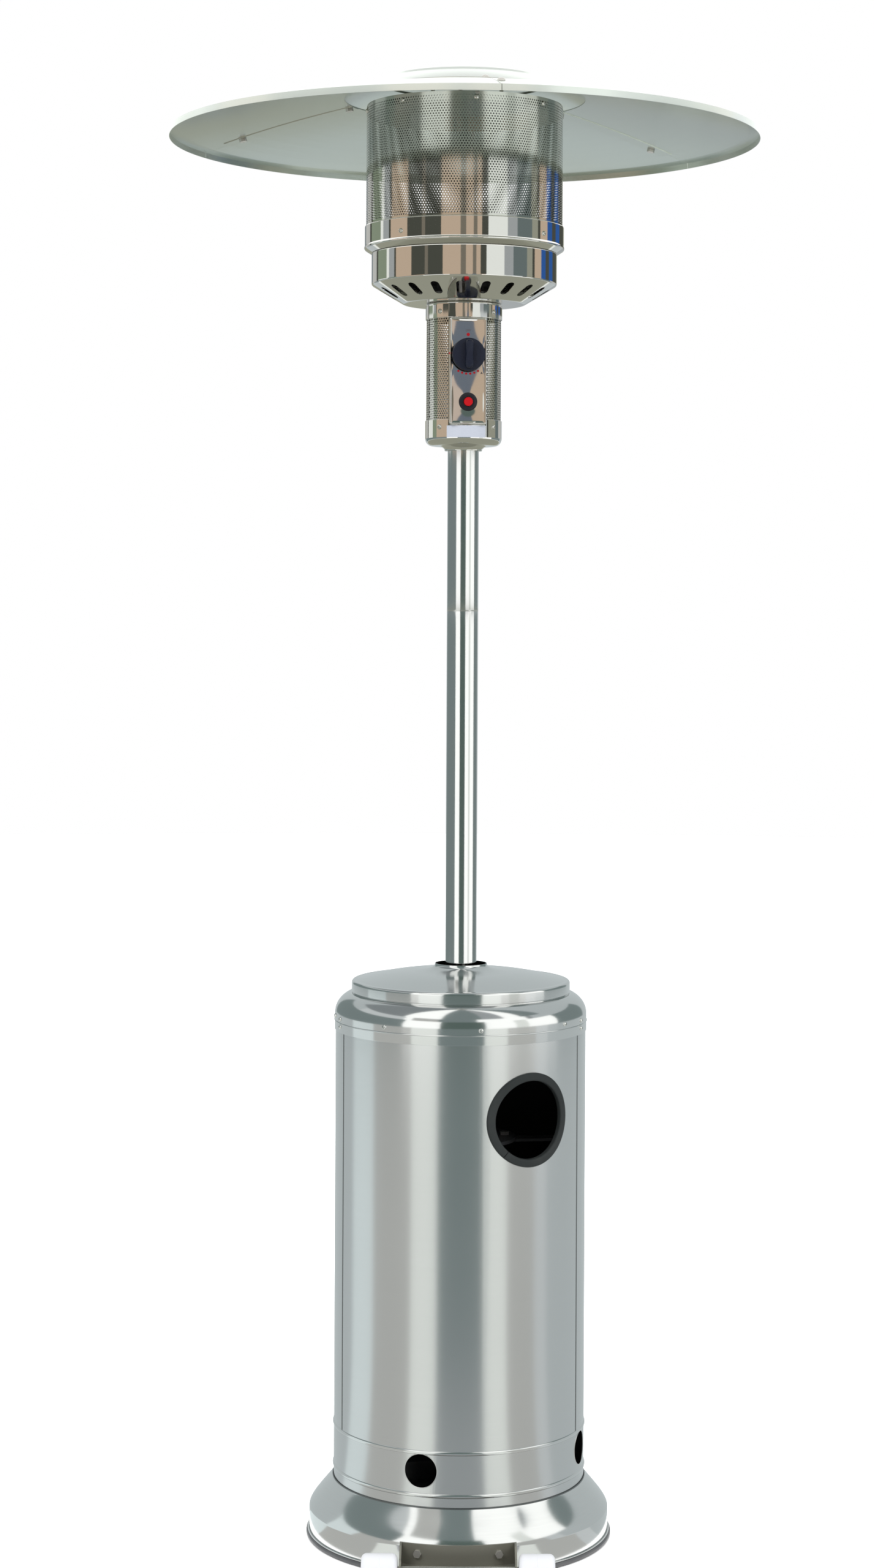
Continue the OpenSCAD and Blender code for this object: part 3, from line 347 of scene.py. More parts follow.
@dataclass(frozen=True)
class PlainFinish:
    """Paint, rubber, plastic or ceramic with a fine texture and worn gloss.

    Attributes:
        name: the material's name.
        colour: its colour.
        rough: its roughness.
        texture: the texture's scale.
        depth: the texture's depth in metres.
        shade: colour of the darker patches.
        coat: a clear coat's weight.
        metallic: 1 for a metal-like base.
        dust: how much pale dust lies in patches.
        dust_colour: the dust's colour.
        specular: how strongly its face shines.
        slot: its material slot in the record, where that has another name.
    """

    name: str
    colour: Colour
    rough: float
    texture: float = 900.0
    depth: float = 0.04 * MM
    shade: Colour | None = None
    coat: float = 0.0
    metallic: float = 0.0
    dust: float = 0.0
    dust_colour: Colour = (0.55, 0.54, 0.52)
    specular: float = 0.5
    slot: str = ""

    def material(self) -> bpy.types.Material:
        """Builds the material."""
        graph = Graph(self.name)
        spot = graph.vector(*graph.place())
        fine = graph.noise(spot, Speckle(self.texture))
        wide = graph.noise(spot, CLOUDS)
        shade = self.shade or tuple(0.8 * c for c in self.colour)
        colour = graph.blend(wide * 0.8 + fine * 0.3 - 0.25, self.colour, shade)
        if self.dust:
            colour = graph.blend((wide - 0.45) * self.dust, colour, self.dust_colour)
        return graph.surface(Base_Color=colour, Roughness=(wide - 0.5) * 0.16 + self.rough,
                             Metallic=self.metallic, Coat_Weight=self.coat,
                             Specular_IOR_Level=self.specular,
                             Normal=graph.bump(fine, self.depth))


FINISHES: tuple[MetalFinish | PlainFinish, ...] = (
    # The walls' inner side, inside inner_r, gets a painted shade.
    MetalFinish("stainless_wall", (0.66, 0.665, 0.66), 0.235, stretch=0.6, grain=Grain.TURNED,
                grain_depth=0.006 * MM, grain_rough=0.05, smudge=0.05, tint=(0.6, 0.605, 0.6),
                wave=0.06 * MM, slot="stainless_brushed", inner_r=188.8 * MM),
    MetalFinish("stainless_satin", (0.7, 0.705, 0.695), 0.13, stretch=0.35, grain=Grain.TURNED,
                grain_depth=0.005 * MM, grain_rough=0.04, smudge=0.05, tint=(0.64, 0.645, 0.635),
                wave=0.25 * MM, slot="stainless_brushed"),
    # A dull dark finish that paints the shade of the seams and of the gap in the skirt's mouth.
    MetalFinish("painted_seam_shade", (0.2, 0.21, 0.21), 0.4, smudge=0.1, slot="stainless_brushed"),
    MetalFinish("stainless_polished", (0.74, 0.73, 0.71), 0.045, smudge=0.03, tint=(0.7, 0.69, 0.665),
                wave=0.03 * MM),
    MetalFinish("stainless_tube", (0.72, 0.72, 0.71), 0.1, stretch=0.5, grain=Grain.UPRIGHT,
                grain_depth=0.004 * MM, grain_rough=0.04, smudge=0.04, slot="stainless_polished"),
    # The perforated sheets' back gets a painted shade, so their holes look dark.
    MetalFinish("stainless_perforated", (0.66, 0.665, 0.63), 0.1, smudge=0.05, tint=(0.58, 0.58, 0.54),
                wave=0.03 * MM, painted_shade_colour=(0.03, 0.032, 0.028), painted_shade_back=True),
    MetalFinish("reflector_aluminium", (0.69, 0.73, 0.69), 0.25, stretch=0.35, grain=Grain.TURNED,
                grain_depth=0.005 * MM, grain_rough=0.05, smudge=0.06, tint=(0.64, 0.68, 0.64),
                wave=0.12 * MM),
    MetalFinish("brass", (0.72, 0.53, 0.26), 0.26, smudge=0.14, tint=(0.55, 0.39, 0.19)),
    MetalFinish("copper_tube", (0.72, 0.43, 0.3), 0.28, smudge=0.12, tint=(0.5, 0.28, 0.2)),
    MetalFinish("screw_steel", (0.8, 0.8, 0.78), 0.14, smudge=0.06, tint=(0.66, 0.66, 0.63),
                slot="zinc_steel"),
    PlainFinish("bracket_steel", (0.25, 0.245, 0.205), 0.3, texture=500.0, depth=0.03 * MM,
                shade=(0.19, 0.185, 0.155), metallic=0.6),
    PlainFinish("zinc_steel", (0.52, 0.51, 0.475), 0.25, texture=900.0, depth=0.02 * MM,
                shade=(0.42, 0.41, 0.38), metallic=0.72),
    PlainFinish("painted_steel", (0.055, 0.057, 0.06), 0.42, texture=700.0, depth=0.06 * MM, coat=0.15,
                dust=0.25),
    PlainFinish("wheel_plastic", (0.54, 0.55, 0.57), 0.38, texture=800.0, depth=0.05 * MM,
                shade=(0.49, 0.5, 0.52), specular=0.3),
    PlainFinish("trim_rubber", (0.014, 0.017, 0.017), 0.6, texture=1100.0, depth=0.05 * MM,
                shade=(0.01, 0.012, 0.012), dust=0.06, specular=0.25),
    PlainFinish("black_plastic", (0.008, 0.008, 0.011), 0.3, texture=1300.0, depth=0.03 * MM,
                specular=0.25),
    PlainFinish("knob_plastic", (0.007, 0.009, 0.018), 0.36, texture=1300.0, depth=0.03 * MM,
                shade=(0.005, 0.007, 0.013), specular=0.2),
    PlainFinish("button_plastic", (0.29, 0.004, 0.007), 0.3, texture=1200.0, depth=0.02 * MM,
                shade=(0.24, 0.003, 0.006), specular=0.12),
    PlainFinish("dial_red", (0.26, 0.003, 0.008), 0.5, texture=1200.0, depth=0.01 * MM, specular=0.2,
                slot="button_plastic"),
    PlainFinish("dial_ink", (0.04, 0.03, 0.03), 0.45, texture=1200.0, depth=0.01 * MM,
                slot="black_plastic"),
    PlainFinish("ceramic", (0.8, 0.78, 0.73), 0.25, texture=500.0, depth=0.03 * MM, coat=0.4),
    PlainFinish("blank_label", (0.31, 0.33, 0.375), 0.4, texture=600.0, depth=0.02 * MM,
                shade=(0.27, 0.29, 0.335), specular=0.2, slot="wheel_plastic"),
)


class Palette:
    """All the finished materials, by name."""

    def __init__(self) -> None:
        """Builds every finish once."""
        self.by_name = {finish.name: finish.material() for finish in FINISHES}
        self.slots = {finish.name: finish.slot or finish.name for finish in FINISHES}

    def dress(self, piece: bpy.types.Object, name: str) -> None:
        """Gives a piece one finish.

        Args:
            piece: the piece.
            name: the finish's name.
        """
        if piece.material_slots:
            for place in piece.material_slots:
                place.material = self.by_name[name]
        else:
            piece.data.materials.append(self.by_name[name])


# Outlines


def cubic(a: Point, b: Point, c: Point, d: Point, steps: int = 32) -> Outline:
    """Points on a cubic curve.

    Args:
        a: the first point.
        b: its handle.
        c: the last point's handle.
        d: the last point.
        steps: the number of steps.

    Returns:
        steps + 1 points.
    """
    t = np.linspace(0.0, 1.0, steps + 1)[:, None]
    made = ((1 - t) ** 3 * np.array(a) + 3 * (1 - t) ** 2 * t * np.array(b)
            + 3 * (1 - t) * t ** 2 * np.array(c) + t ** 3 * np.array(d))
    return [tuple(p) for p in made]


def arc(centre: Point, radius: float, start: float, end: float, steps: int = 10) -> Outline:
    """Points on an arc between two angles in degrees, one more than its steps."""
    angles = np.radians(np.linspace(start, end, steps + 1))
    return [(centre[0] + radius * math.cos(a), centre[1] + radius * math.sin(a)) for a in angles]


def eased(line: Outline, radius: float, steps: int) -> Outline:
    """Rounds the inner corners of an open line.

    Args:
        line: the line.
        radius: how far from each corner the rounding starts.
        steps: steps in each corner.

    Returns:
        The line with its corners rounded.
    """
    made: Outline = [line[0]]
    for before, corner, after in zip(line, line[1:], line[2:]):
        p, q, r = (np.array(v) for v in (before, corner, after))
        reach = min(radius, 0.45 * np.linalg.norm(p - q), 0.45 * np.linalg.norm(r - q))
        start = q + (p - q) / np.linalg.norm(p - q) * reach
        end = q + (r - q) / np.linalg.norm(r - q) * reach
        for t in np.linspace(0.0, 1.0, steps + 1):
            made.append(tuple((1 - t) ** 2 * start + 2 * (1 - t) * t * q + t * t * end))
    made.append(line[-1])
    return made


def sheet(line: Outline, thickness: float) -> Outline:
    """Makes a closed outline of a sheet whose outer face follows a line.

    Args:
        line: the outer face, with the sheet to its left.
        thickness: the sheet's thickness.

    Returns:
        The closed outline, with half-round ends.
    """
    points = np.array(line)
    steps = np.diff(points, axis=0)
    steps /= np.linalg.norm(steps, axis=1)[:, None]
    sides = np.stack([-steps[:, 1], steps[:, 0]], axis=1)
    first = np.vstack([sides[:1], sides])
    last = np.vstack([sides, sides[-1:]])
    mitre = (first + last) / (1 + np.sum(first * last, axis=1))[:, None]
    inner = points + mitre * thickness

    def end(a: np.ndarray, b: np.ndarray, out: np.ndarray) -> list[np.ndarray]:
        """Points on the half round from a to b.

        Args:
            a: where it starts.
            b: where it ends.
            out: the way it bulges.

        Returns:
            Four points between them.
        """
        mid, half = (a + b) / 2, (a - b) / 2
        reach = np.linalg.norm(half)
        return [mid + half * math.cos(t) + out * reach * math.sin(t)
                for t in np.linspace(math.pi / 5, math.pi * 4 / 5, 4)]

    closing = end(points[-1], inner[-1], steps[-1])
    opening = end(inner[0], points[0], -steps[0])
    return [tuple(p) for p in [*points, *closing, *inner[::-1], *opening]]


def held(outline: Outline, gap: float = 0.3 * MM, least: float = 5 * MM) -> Outline:
    """Adds a point near both ends of each long stretch, which keeps its shading flat.

    Args:
        outline: a closed outline.
        gap: how far from the ends.
        least: the shortest stretch that gets them.

    Returns:
        The outline with the added points.
    """
    made: Outline = []
    for (x0, y0), (x1, y1) in zip(outline, [*outline[1:], outline[0]]):
        made.append((x0, y0))
        length = math.hypot(x1 - x0, y1 - y0)
        if length > least:
            made += [(x0 + (x1 - x0) * t, y0 + (y1 - y0) * t) for t in (gap / length, 1 - gap / length)]
    return made


# Meshes


def about(radius: float, azimuth: float, z: float) -> Spot:
    """The point at a distance from the pole's axis, an azimuth in radians and a height."""
    return radius * math.sin(azimuth), -radius * math.cos(azimuth), z


def ringed(rings: int, count: int, start: int = 0, closed: bool = False) -> list[Face]:
    """Faces between rings of points that follow one another; closed joins the last to the first."""
    return [(start + i * count + j, start + i * count + (j + 1) % count,
             start + (i + 1) % rings * count + (j + 1) % count, start + (i + 1) % rings * count + j)
            for i in range(rings if closed else rings - 1) for j in range(count)]


def capped(rings: int, count: int, start: int = 0) -> list[Face]:
    """The two faces that close the first and the last of such rings."""
    last = start + (rings - 1) * count
    return [tuple(range(start, start + count)), tuple(range(last, last + count))]


def gridded(across: int, up: int) -> list[Face]:
    """Faces of a sheet whose points are numbered row by row."""
    row = across + 1
    return [(j * row + i, j * row + i + 1, (j + 1) * row + i + 1, (j + 1) * row + i)
            for j in range(up) for i in range(across)]


def mesh_piece(name: str, points: Iterable, faces: Iterable, sharp: float = 32.0,
               outward: bool = True) -> bpy.types.Object:
    """Makes an object from points and faces.

    Args:
        name: the piece's name.
        points: its corners.
        faces: its faces.
        sharp: edges over this many degrees stay sharp.
        outward: whether the faces are turned outwards and stray corners merged.

    Returns:
        The object, linked to the scene.
    """
    data = bpy.data.meshes.new(name)
    data.from_pydata([tuple(p) for p in points], [], [tuple(f) for f in faces])
    if outward:
        work = bmesh.new()
        work.from_mesh(data)
        bmesh.ops.remove_doubles(work, verts=work.verts, dist=MERGE)
        bmesh.ops.recalc_face_normals(work, faces=work.faces)
        work.to_mesh(data)
        work.free()
    return linked(name, data, sharp)


def linked(name: str, data: bpy.types.Mesh, sharp: float) -> bpy.types.Object:
    """Smooths a mesh but for its sharp edges and puts it into the scene.

    Args:
        name: the object's name.
        data: the mesh.
        sharp: edges over this many degrees stay sharp.

    Returns:
        The object.
    """
    data.shade_smooth()
    data.set_sharp_from_angle(angle=math.radians(sharp))
    piece = bpy.data.objects.new(name, data)
    bpy.context.scene.collection.objects.link(piece)
    return piece


def turned(name: str, outline: Outline, segments: int) -> bpy.types.Object:
    """Turns a closed outline round the pole's axis.

    Args:
        name: the piece's name.
        outline: its closed outline of radius and height.
        segments: steps of the whole turn.

    Returns:
        The piece.
    """
    outline = held(outline)
    angles = np.radians(np.arange(segments) * 360.0 / segments)
    points = [about(r, a, z) for a in angles for r, z in outline]
    return mesh_piece(name, points, ringed(segments, len(outline), closed=True))


def joined(name: str, pieces: Sequence[bpy.types.Object], sharp: float = 32.0) -> bpy.types.Object:
    """Joins pieces into one.

    Args:
        name: the new piece's name.
        pieces: the pieces, which go.
        sharp: edges over this many degrees stay sharp.

    Returns:
        The one piece.
    """
    work = bmesh.new()
    for piece in pieces:
        part = piece.data.copy()
        part.transform(piece.matrix_world)
        work.from_mesh(part)
        bpy.data.meshes.remove(part)
        bpy.data.objects.remove(piece)
    data = bpy.data.meshes.new(name)
    work.to_mesh(data)
    work.free()
    return linked(name, data, sharp)


def cut(piece: bpy.types.Object, cutters: Sequence[bpy.types.Object], sharp: float = 32.0) -> None:
    """Cuts pieces out of another.

    Args:
        piece: what is cut.
        cutters: what is taken away; they go.
        sharp: edges over this many degrees stay sharp.
    """
    tool = joined(piece.name + "_cutter", cutters)
    step = piece.modifiers.new("cut", "BOOLEAN")
    step.operation, step.object, step.solver = "DIFFERENCE", tool, "EXACT"
    shown = piece.evaluated_get(bpy.context.evaluated_depsgraph_get())
    done = bpy.data.meshes.new_from_object(shown)
    piece.modifiers.clear()
    piece.data = done
    bpy.data.objects.remove(tool)
    done.shade_smooth()
    done.set_sharp_from_angle(angle=math.radians(sharp))


def prism(name: str, outline: Outline, half: float, place: Matrix) -> bpy.types.Object:
    """A prism for cutting, which reaches half its height to both sides of its outline."""
    points = [place @ Vector((x, y, z)) for z in (-half, half) for x, y in outline]
    return mesh_piece(name, points, ringed(2, len(outline)) + capped(2, len(outline)))


def round_about(azimuth: float, reach: float, z: float) -> Matrix:
    """A frame at an azimuth in degrees, a reach and a height; its +Z is outwards, its +Y up."""
    turn = Matrix.Rotation(math.radians(azimuth), 4, "Z")
    return turn @ Matrix.Translation((0.0, -reach, z)) @ Matrix.Rotation(math.pi / 2, 4, "X")


def spread(count: int, first: float, reach: float, z: float) -> list[Matrix]:
    """Such frames spread evenly round the axis, from a first azimuth in degrees."""
    return [round_about(first + 360 / count * i, reach, z) for i in range(count)]


@dataclass(frozen=True)
class Screw:
    """A domed screw head with a cross recess, on a short shank.

    Attributes:
        head_r: the head's radius.
        head_h: its height.
        shank_r: the shank's radius.
        shank: the shank's length.
        arm: the recess's reach from its middle, as a share of the head's radius.
        slot_w: half the width of its slots, as a share of the head's radius.
        recess: its depth, as a share of the head's height.
        rings: steps from the head's middle to its edge.
        turns: steps round it.
    """

    head_r: float = 3.7 * MM
    head_h: float = 2.4 * MM
    shank_r: float = 2.0 * MM
    shank: float = 3.0 * MM
    arm: float = 0.62
    slot_w: float = 0.17
    recess: float = 0.55
    rings: int = 12
    turns: int = 40

    def height(self, x: float, y: float) -> float:
        """The head's height over a point, measured from the middle of the head's underside.

        Args:
            x: the point's place across.
            y: its place up.

        Returns:
            The height.
        """
        share = min(1.0, math.hypot(x, y) / self.head_r)
        dome = self.head_h * (1 - share ** 2.6) ** 0.55
        across, along = sorted((abs(x), abs(y)))
        inside = across < self.slot_w * self.head_r and along < self.arm * self.head_r
        return dome - (self.recess * self.head_h if inside else 0.0)

    def ring(self, reach: float) -> Outline:
        """Points round the screw's own axis."""
        steps = [math.tau * j / self.turns for j in range(self.turns)]
        return [(reach * math.cos(a), reach * math.sin(a)) for a in steps]

    def mesh(self) -> tuple[list[Vector], list[Face]]:
        """The screw's corners and faces, on its own +Z."""
        turns = self.turns
        points = [Vector((0.0, 0.0, self.height(0.0, 0.0)))]
        for i in range(1, self.rings + 1):
            reach = self.head_r * (i / self.rings) ** 0.8
            points += [Vector((x, y, self.height(x, y))) for x, y in self.ring(reach)]
        for z in (0.0, -self.shank):
            points += [Vector((x, y, z)) for x, y in self.ring(self.shank_r)]
        faces: list[Face] = [(0, 1 + j, 1 + (j + 1) % turns) for j in range(turns)]
        for i in range(self.rings + 1):
            low, high = 1 + i * turns, 1 + (i + 1) * turns
            faces += [(low + j, high + j, high + (j + 1) % turns, low + (j + 1) % turns)
                      for j in range(turns)]
        faces.append(tuple(1 + (self.rings + 1) * turns + j for j in range(turns)))
        return points, faces

    def row(self, name: str, places: Sequence[Matrix]) -> bpy.types.Object:
        """One piece of many such screws.

        Args:
            name: the piece's name.
            places: where each screw goes.

        Returns:
            The piece.
        """
        points, faces = self.mesh()
        all_points = [place @ p for place in places for p in points]
        all_faces = [tuple(i + k * len(points) for i in f) for k in range(len(places)) for f in faces]
        return mesh_piece(name, all_points, all_faces)


@dataclass
class Perforation:
    """A round sheet with staggered round holes.

    Attributes:
        radius: the sheet's outer radius.
        low: its lower edge.
        high: its upper edge.
        pitch: distance between holes in a row.
        hole_r: a hole's radius.
        holed: whether there is a hole at an azimuth and height.
        turn: azimuth of the first hole in degrees.
        wall: depth of the holes' walls, or 0 for none.
        points: the points made so far.
        found: number of each shared corner, by its place.
    """

    radius: float
    low: float
    high: float
    pitch: float
    hole_r: float
    holed: Callable[[float, float], bool]
    turn: float = 0.0
    wall: float = 0.0
    points: list[Spot] = field(init=False, default_factory=list)
    found: dict[tuple[int, int], int] = field(init=False, default_factory=dict)

    def __post_init__(self) -> None:
        """Fits whole columns and rows of holes to the sheet."""
        self.columns = round(math.tau * self.radius / self.pitch)
        self.step_u = math.tau / self.columns
        row = self.radius * self.step_u * math.sqrt(3) / 2
        self.rows = int((self.high - self.low) / row - 0.5)
        self.step_z = (self.high - self.low) / (self.rows + 0.5)

    def build(self, name: str) -> bpy.types.Object:
        """Builds the sheet.

        Args:
            name: the piece's name.

        Returns:
            The piece.
        """
        faces: list[Face] = []
        for j in range(self.rows):
            z = self.low + (j + 0.75) * self.step_z
            for i in range(self.columns):
                u = 2 * i + j % 2
                corners = [self._corner(u + du, 3 * j + dz)
                           for du, dz in ((0, 4), (-1, 3), (-1, 1), (0, 0), (1, 1), (1, 3))]
                azimuth = (u * self.step_u / 2) % math.tau
                if self.holed(math.degrees(azimuth) + self.turn, z):
                    faces += self._hole(azimuth, z, corners)
                else:
                    faces.append(tuple(corners))
        faces += self._edge(0, self.low)
        faces += self._edge(self.rows, self.high)
        return mesh_piece(name, self.points, faces, 40.0, outward=False)

    def _add(self, azimuth: float, z: float, radius: float) -> int:
        """Adds a point and returns its number."""
        self.points.append(about(radius, azimuth + math.radians(self.turn), z))
        return len(self.points) - 1

    def _corner(self, u: int, w: int) -> int:
        """A cell's corner, shared between cells.

        Args:
            u: its place round the axis, in half columns.
            w: its place upwards, in thirds of a row.

        Returns:
            The corner's number.
        """
        key = (u % (2 * self.columns), w)
        if key not in self.found:
            z = self.low + 0.75 * self.step_z + (w / 3 - 2 / 3) * self.step_z
            self.found[key] = self._add(key[0] * self.step_u / 2, z, self.radius)
        return self.found[key]

    def _hole(self, azimuth: float, z: float, corners: list[int]) -> list[Face]:
        """A cell's faces round its hole.

        Args:
            azimuth: the hole's azimuth in radians.
            z: its height.
            corners: the cell's six corners.

        Returns:
            The faces.
        """
        circle = arc((0.0, 0.0), self.hole_r, 90, 90 + 330, 11)
        rim = [self._add(azimuth + x / self.radius, z + y, self.radius) for x, y in circle]
        faces: list[Face] = [
            (corners[k], corners[(k + 1) % 6], rim[(2 * k + 2) % 12], rim[2 * k + 1], rim[2 * k])
            for k in range(6)]
        if self.wall:
            inner = self.radius - self.wall
            back = [self._add(azimuth + x / self.radius, z + y, inner) for x, y in circle]
            faces += [(rim[k], rim[(k + 1) % 12], back[(k + 1) % 12], back[k]) for k in range(12)]
        return faces

    def _edge(self, row: int, z: float) -> list[Face]:
        """The strip between the first or last row's corners and the sheet's edge.

        Args:
            row: 0 for the lower edge, or the number of rows.
            z: the edge's height.

        Returns:
            The faces.
        """
        around = 2 * self.columns
        last = (self.rows - 1) % 2
        line = []
        for u in range(around):
            if row == 0:
                w = u % 2
            else:
                w = 3 * (self.rows - 1) + (4 if u % 2 == last else 3)
            line.append(self._corner(u, w))
        edge = [self._add(u * self.step_u / 2, z, self.radius) for u in range(around)]
        faces = [(edge[u], edge[(u + 1) % around], line[(u + 1) % around], line[u])
                 for u in range(around)]
        return faces if row == 0 else [f[::-1] for f in faces]


# Assemblies


class Assembly:
    """A group of pieces that share a frame and a palette."""

    body = "stand"

    def __init__(self, palette: Palette, nodes: dict[str, bpy.types.Object]) -> None:
        """Keeps what every group needs.

        Args:
            palette: the finishes.
            nodes: the CAD nodes by name.
        """
        self.palette = palette
        self.nodes = nodes

    def keep(self, finish: str, *names: str) -> None:
        """Carries CAD nodes over with a finish.

        Args:
            finish: the finish's name.
            names: the nodes.
        """
        for name in names:
            self.palette.dress(self.nodes[name], finish)
            LOG.info("node %s in %s", name, finish)

    def add(self, piece: bpy.types.Object, finish: str, replaces: Sequence[str] = (),
            body: str | None = None) -> None:
        """Finishes a new piece.

        Args:
            piece: the piece.
            finish: its finish.
            replaces: the CAD nodes that it stands for.
            body: its body, where it isn't the group's.
        """
        self.palette.dress(piece, finish)
        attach(piece, body or self.body)
        if replaces:
            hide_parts(*replaces)
        LOG.info("piece %s: %d faces", piece.name, len(piece.data.polygons))

    def spun(self, node: str, outline: Outline, segments: int, finish: str) -> None:
        """Turns an outline round the axis in the place of a CAD node."""
        self.add(turned(node + "_dressed", outline, segments), finish, [node])

    def screws(self, node: str, screw: Screw, places: Sequence[Matrix]) -> None:
        """Puts screw heads with a recess in the place of a CAD node of plain ones."""
        self.add(screw.row(node + "_dressed", places), "screw_steel", [node])


@dataclass(frozen=True)
class BaseSizes:
    """Sizes of the base in metres."""

    skirt_r: float = 226 * MM
    mouth_r: float = 190.8 * MM
    housing_r: float = 189.5 * MM
    low: float = 7 * MM
    wall_top: float = 41 * MM
    top: float = 88.5 * MM
    seat: float = 79.5 * MM
    flare_h: float = 81.5 * MM
    seat_w: float = 12 * MM
    metal: float = 1 * MM
    hem_r: float = 1.3 * MM
    # These two size the painted shade line in the skirt's mouth.
    shade_line_r: float = 0.7 * MM
    shade_line_h: float = 2 * MM


@dataclass(frozen=True)
class RollerSizes:
    """Sizes of a roller in metres, with a groove round its tread and a ring in its outer end."""

    bore: float = 5.05 * MM
    corner: float = 8 * MM
    line: float = 0.6 * MM
    line_d: float = 0.25 * MM
    ring: Point = (15.5 * MM, 11 * MM)
    slope: float = 0.5 * MM
    ring_d: float = 0.8 * MM
    hub: float = 9 * MM
    recess: float = 6.3 * MM


class Base(Assembly):
    """Weighted plate, skirt, bracket and rollers."""

    sizes = BaseSizes()
    roller = RollerSizes()

    def build(self) -> None:
        """Builds the group."""
        self.keep("painted_steel", "base_plate", "leg_front", "leg_left", "leg_right", "pole_flange")
        self.keep("zinc_steel", "leg_bolts", "socket_screws", "bracket_bolts", "wheel_axle", "axle_caps")
        self.keep("bracket_steel", "wheel_bracket")
        self.skirt()
        for turn, side in ((-90, "left"), (90, "right")):
            self.wheel(turn, side)

    def skirt(self) -> None:
        """The flared skirt, with a rolled hem, a seat for the housing and a painted shade line in its mouth.
        """
        s = self.sizes
        hem = arc((s.skirt_r + s.hem_r - s.metal / 2, s.low + s.hem_r), s.hem_r, -60, 180, 12)
        flare = cubic((s.skirt_r, s.wall_top), (s.skirt_r, s.low + 0.52 * s.flare_h),
                      (s.housing_r + 0.42 * (s.skirt_r - s.housing_r), s.low + 0.78 * s.flare_h),
                      (s.mouth_r, s.top), 40)
        inward = [(s.mouth_r - 0.35 * MM, s.top + 0.55 * MM), (s.mouth_r - 0.8 * MM, s.top + 0.3 * MM),
                  (s.mouth_r - s.metal, s.seat + s.metal), (s.mouth_r - s.metal - s.seat_w, s.seat)]
        line = [*hem, *flare, *inward]
        self.spun("base_skirt", sheet(line, 0.7 * s.metal), 256, "stainless_satin")
        # A dull dark ring in the skirt's mouth: a painted shade line in the gap round the housing.
        shade_line = [(s.mouth_r - 0.9 * MM, s.seat + s.shade_line_h), (s.mouth_r - 0.2 * MM, s.seat + s.shade_line_h),
                *arc((s.mouth_r - 0.25 * MM, s.top + 0.9 * MM), s.shade_line_r, -30, 170, 6)]
        self.add(turned("skirt_mouth_shade_line", shade_line, 256), "painted_seam_shade")

    def wheel(self, turn: float, side: str) -> None:
        """A moulded roller with a rounded tread and a stepped hub.

        Args:
            turn: degrees by which its outer end is turned from straight up.
            side: its side's name.
        """
        s = self.roller
        node = "wheel_" + side
        low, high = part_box(node)
        centre = (low + high) / 2
        radius, half = (high.z - low.z) / 2, (high.x - low.x) / 2
        ring_out, ring_in = s.ring
        outline = [(s.bore, -half), *arc((radius - s.corner, -half + s.corner), s.corner, -90, 0, 12),
                   (radius, -s.line), (radius - s.line_d, 0.0), (radius, s.line),
                   *arc((radius - s.corner, half - s.corner), s.corner, 0, 90, 12),
                   (ring_out, half), (ring_out - s.slope, half - s.ring_d),
                   (ring_in + s.slope, half - s.ring_d), (ring_in, half),
                   *arc((s.hub + s.ring_d, half - s.ring_d), s.ring_d, 90, 180, 4),
                   (s.hub, half - s.recess), (s.bore, half - s.recess)]
        piece = turned(node + "_dressed", outline, 96)
        piece.data.transform(Matrix.Translation(centre) @ Matrix.Rotation(math.radians(turn), 4, "Y"))
        self.add(piece, "wheel_plastic", [node], body=side + "_wheel")


@dataclass(frozen=True)
class HousingSizes:
    """Sizes of the cylinder housing in metres and degrees."""

    radius: float = 189.5 * MM
    metal: float = 1 * MM
    low: float = 79.8 * MM
    wall_low: float = 171.3 * MM
    beads: tuple[float, ...] = (106.3 * MM, 168.5 * MM)
    bead_r: float = 3.7 * MM
    bead_in: float = 2.2 * MM
    bead_half: float = 3.1 * MM
    bead_foot: float = 0.4 * MM
    bead_turn: float = 52.0
    step: float = 1.3 * MM
    tongue_top: float = 183.3 * MM
    vent_z: float = 141.8 * MM
    vent_r: float = 24.5 * MM
    vent_az: tuple[float, ...] = (-17.0, 73.0, 163.0, 253.0)
    vent_cut: float = 14 * MM
    lip_r: float = 0.55 * MM
    lip_out: float = 0.2 * MM
    wall_top: float = 762.8 * MM
    shoulder_r: float = 190.8 * MM
    shoulder_h: float = 54.5 * MM
    skirt_h: float = 23.5 * MM
    roll_z: float = 776.8 * MM
    roll_r: float = 1.1 * MM
    roll_in: float = 0.2 * MM
    lid_r: float = 165.5 * MM
    lid_z: float = 818.8 * MM
    lid_rim: float = 836.3 * MM
    lid_rise: float = 15.5 * MM
    lid_round: float = 4 * MM
    lid_flat: float = 8 * MM
    lid_hem: float = 0.9 * MM
    ledge: float = 3 * MM
    neck_foot_r: float = 52 * MM
    neck_r: float = 38.5 * MM
    neck_h: float = 9 * MM
    hole_az: float = 33.0
    hole_z: float = 650.3 * MM
    screws: int = 8
    screw_az: float = 9.0
    screw_z: float = 784.3 * MM
    joint_z: tuple[float, ...] = (771.3 * MM, 782.8 * MM)
    joint_az: float = 71.0
    seam_az: float = 67.0
    seam_gap: tuple[float, float] = (0.5 * MM, 4 * MM)


@dataclass(frozen=True)
class TrimSizes:
    """Sizes of the rubber ring in metres and degrees: reaches from its middle, heights over the wall."""

    out: float = 69 * MM
    mouth: float = 57.2 * MM
    fit: float = 63.25 * MM
    lift: float = 0.15 * MM
    height: float = 4.5 * MM
    lip_r: float = 2.4 * MM
    crown_r: float = 3.2 * MM
    back: float = 5.6 * MM
    back_r: float = 2 * MM
    joint: float = 228.0
    gap: float = 0.9
    steps: int = 160


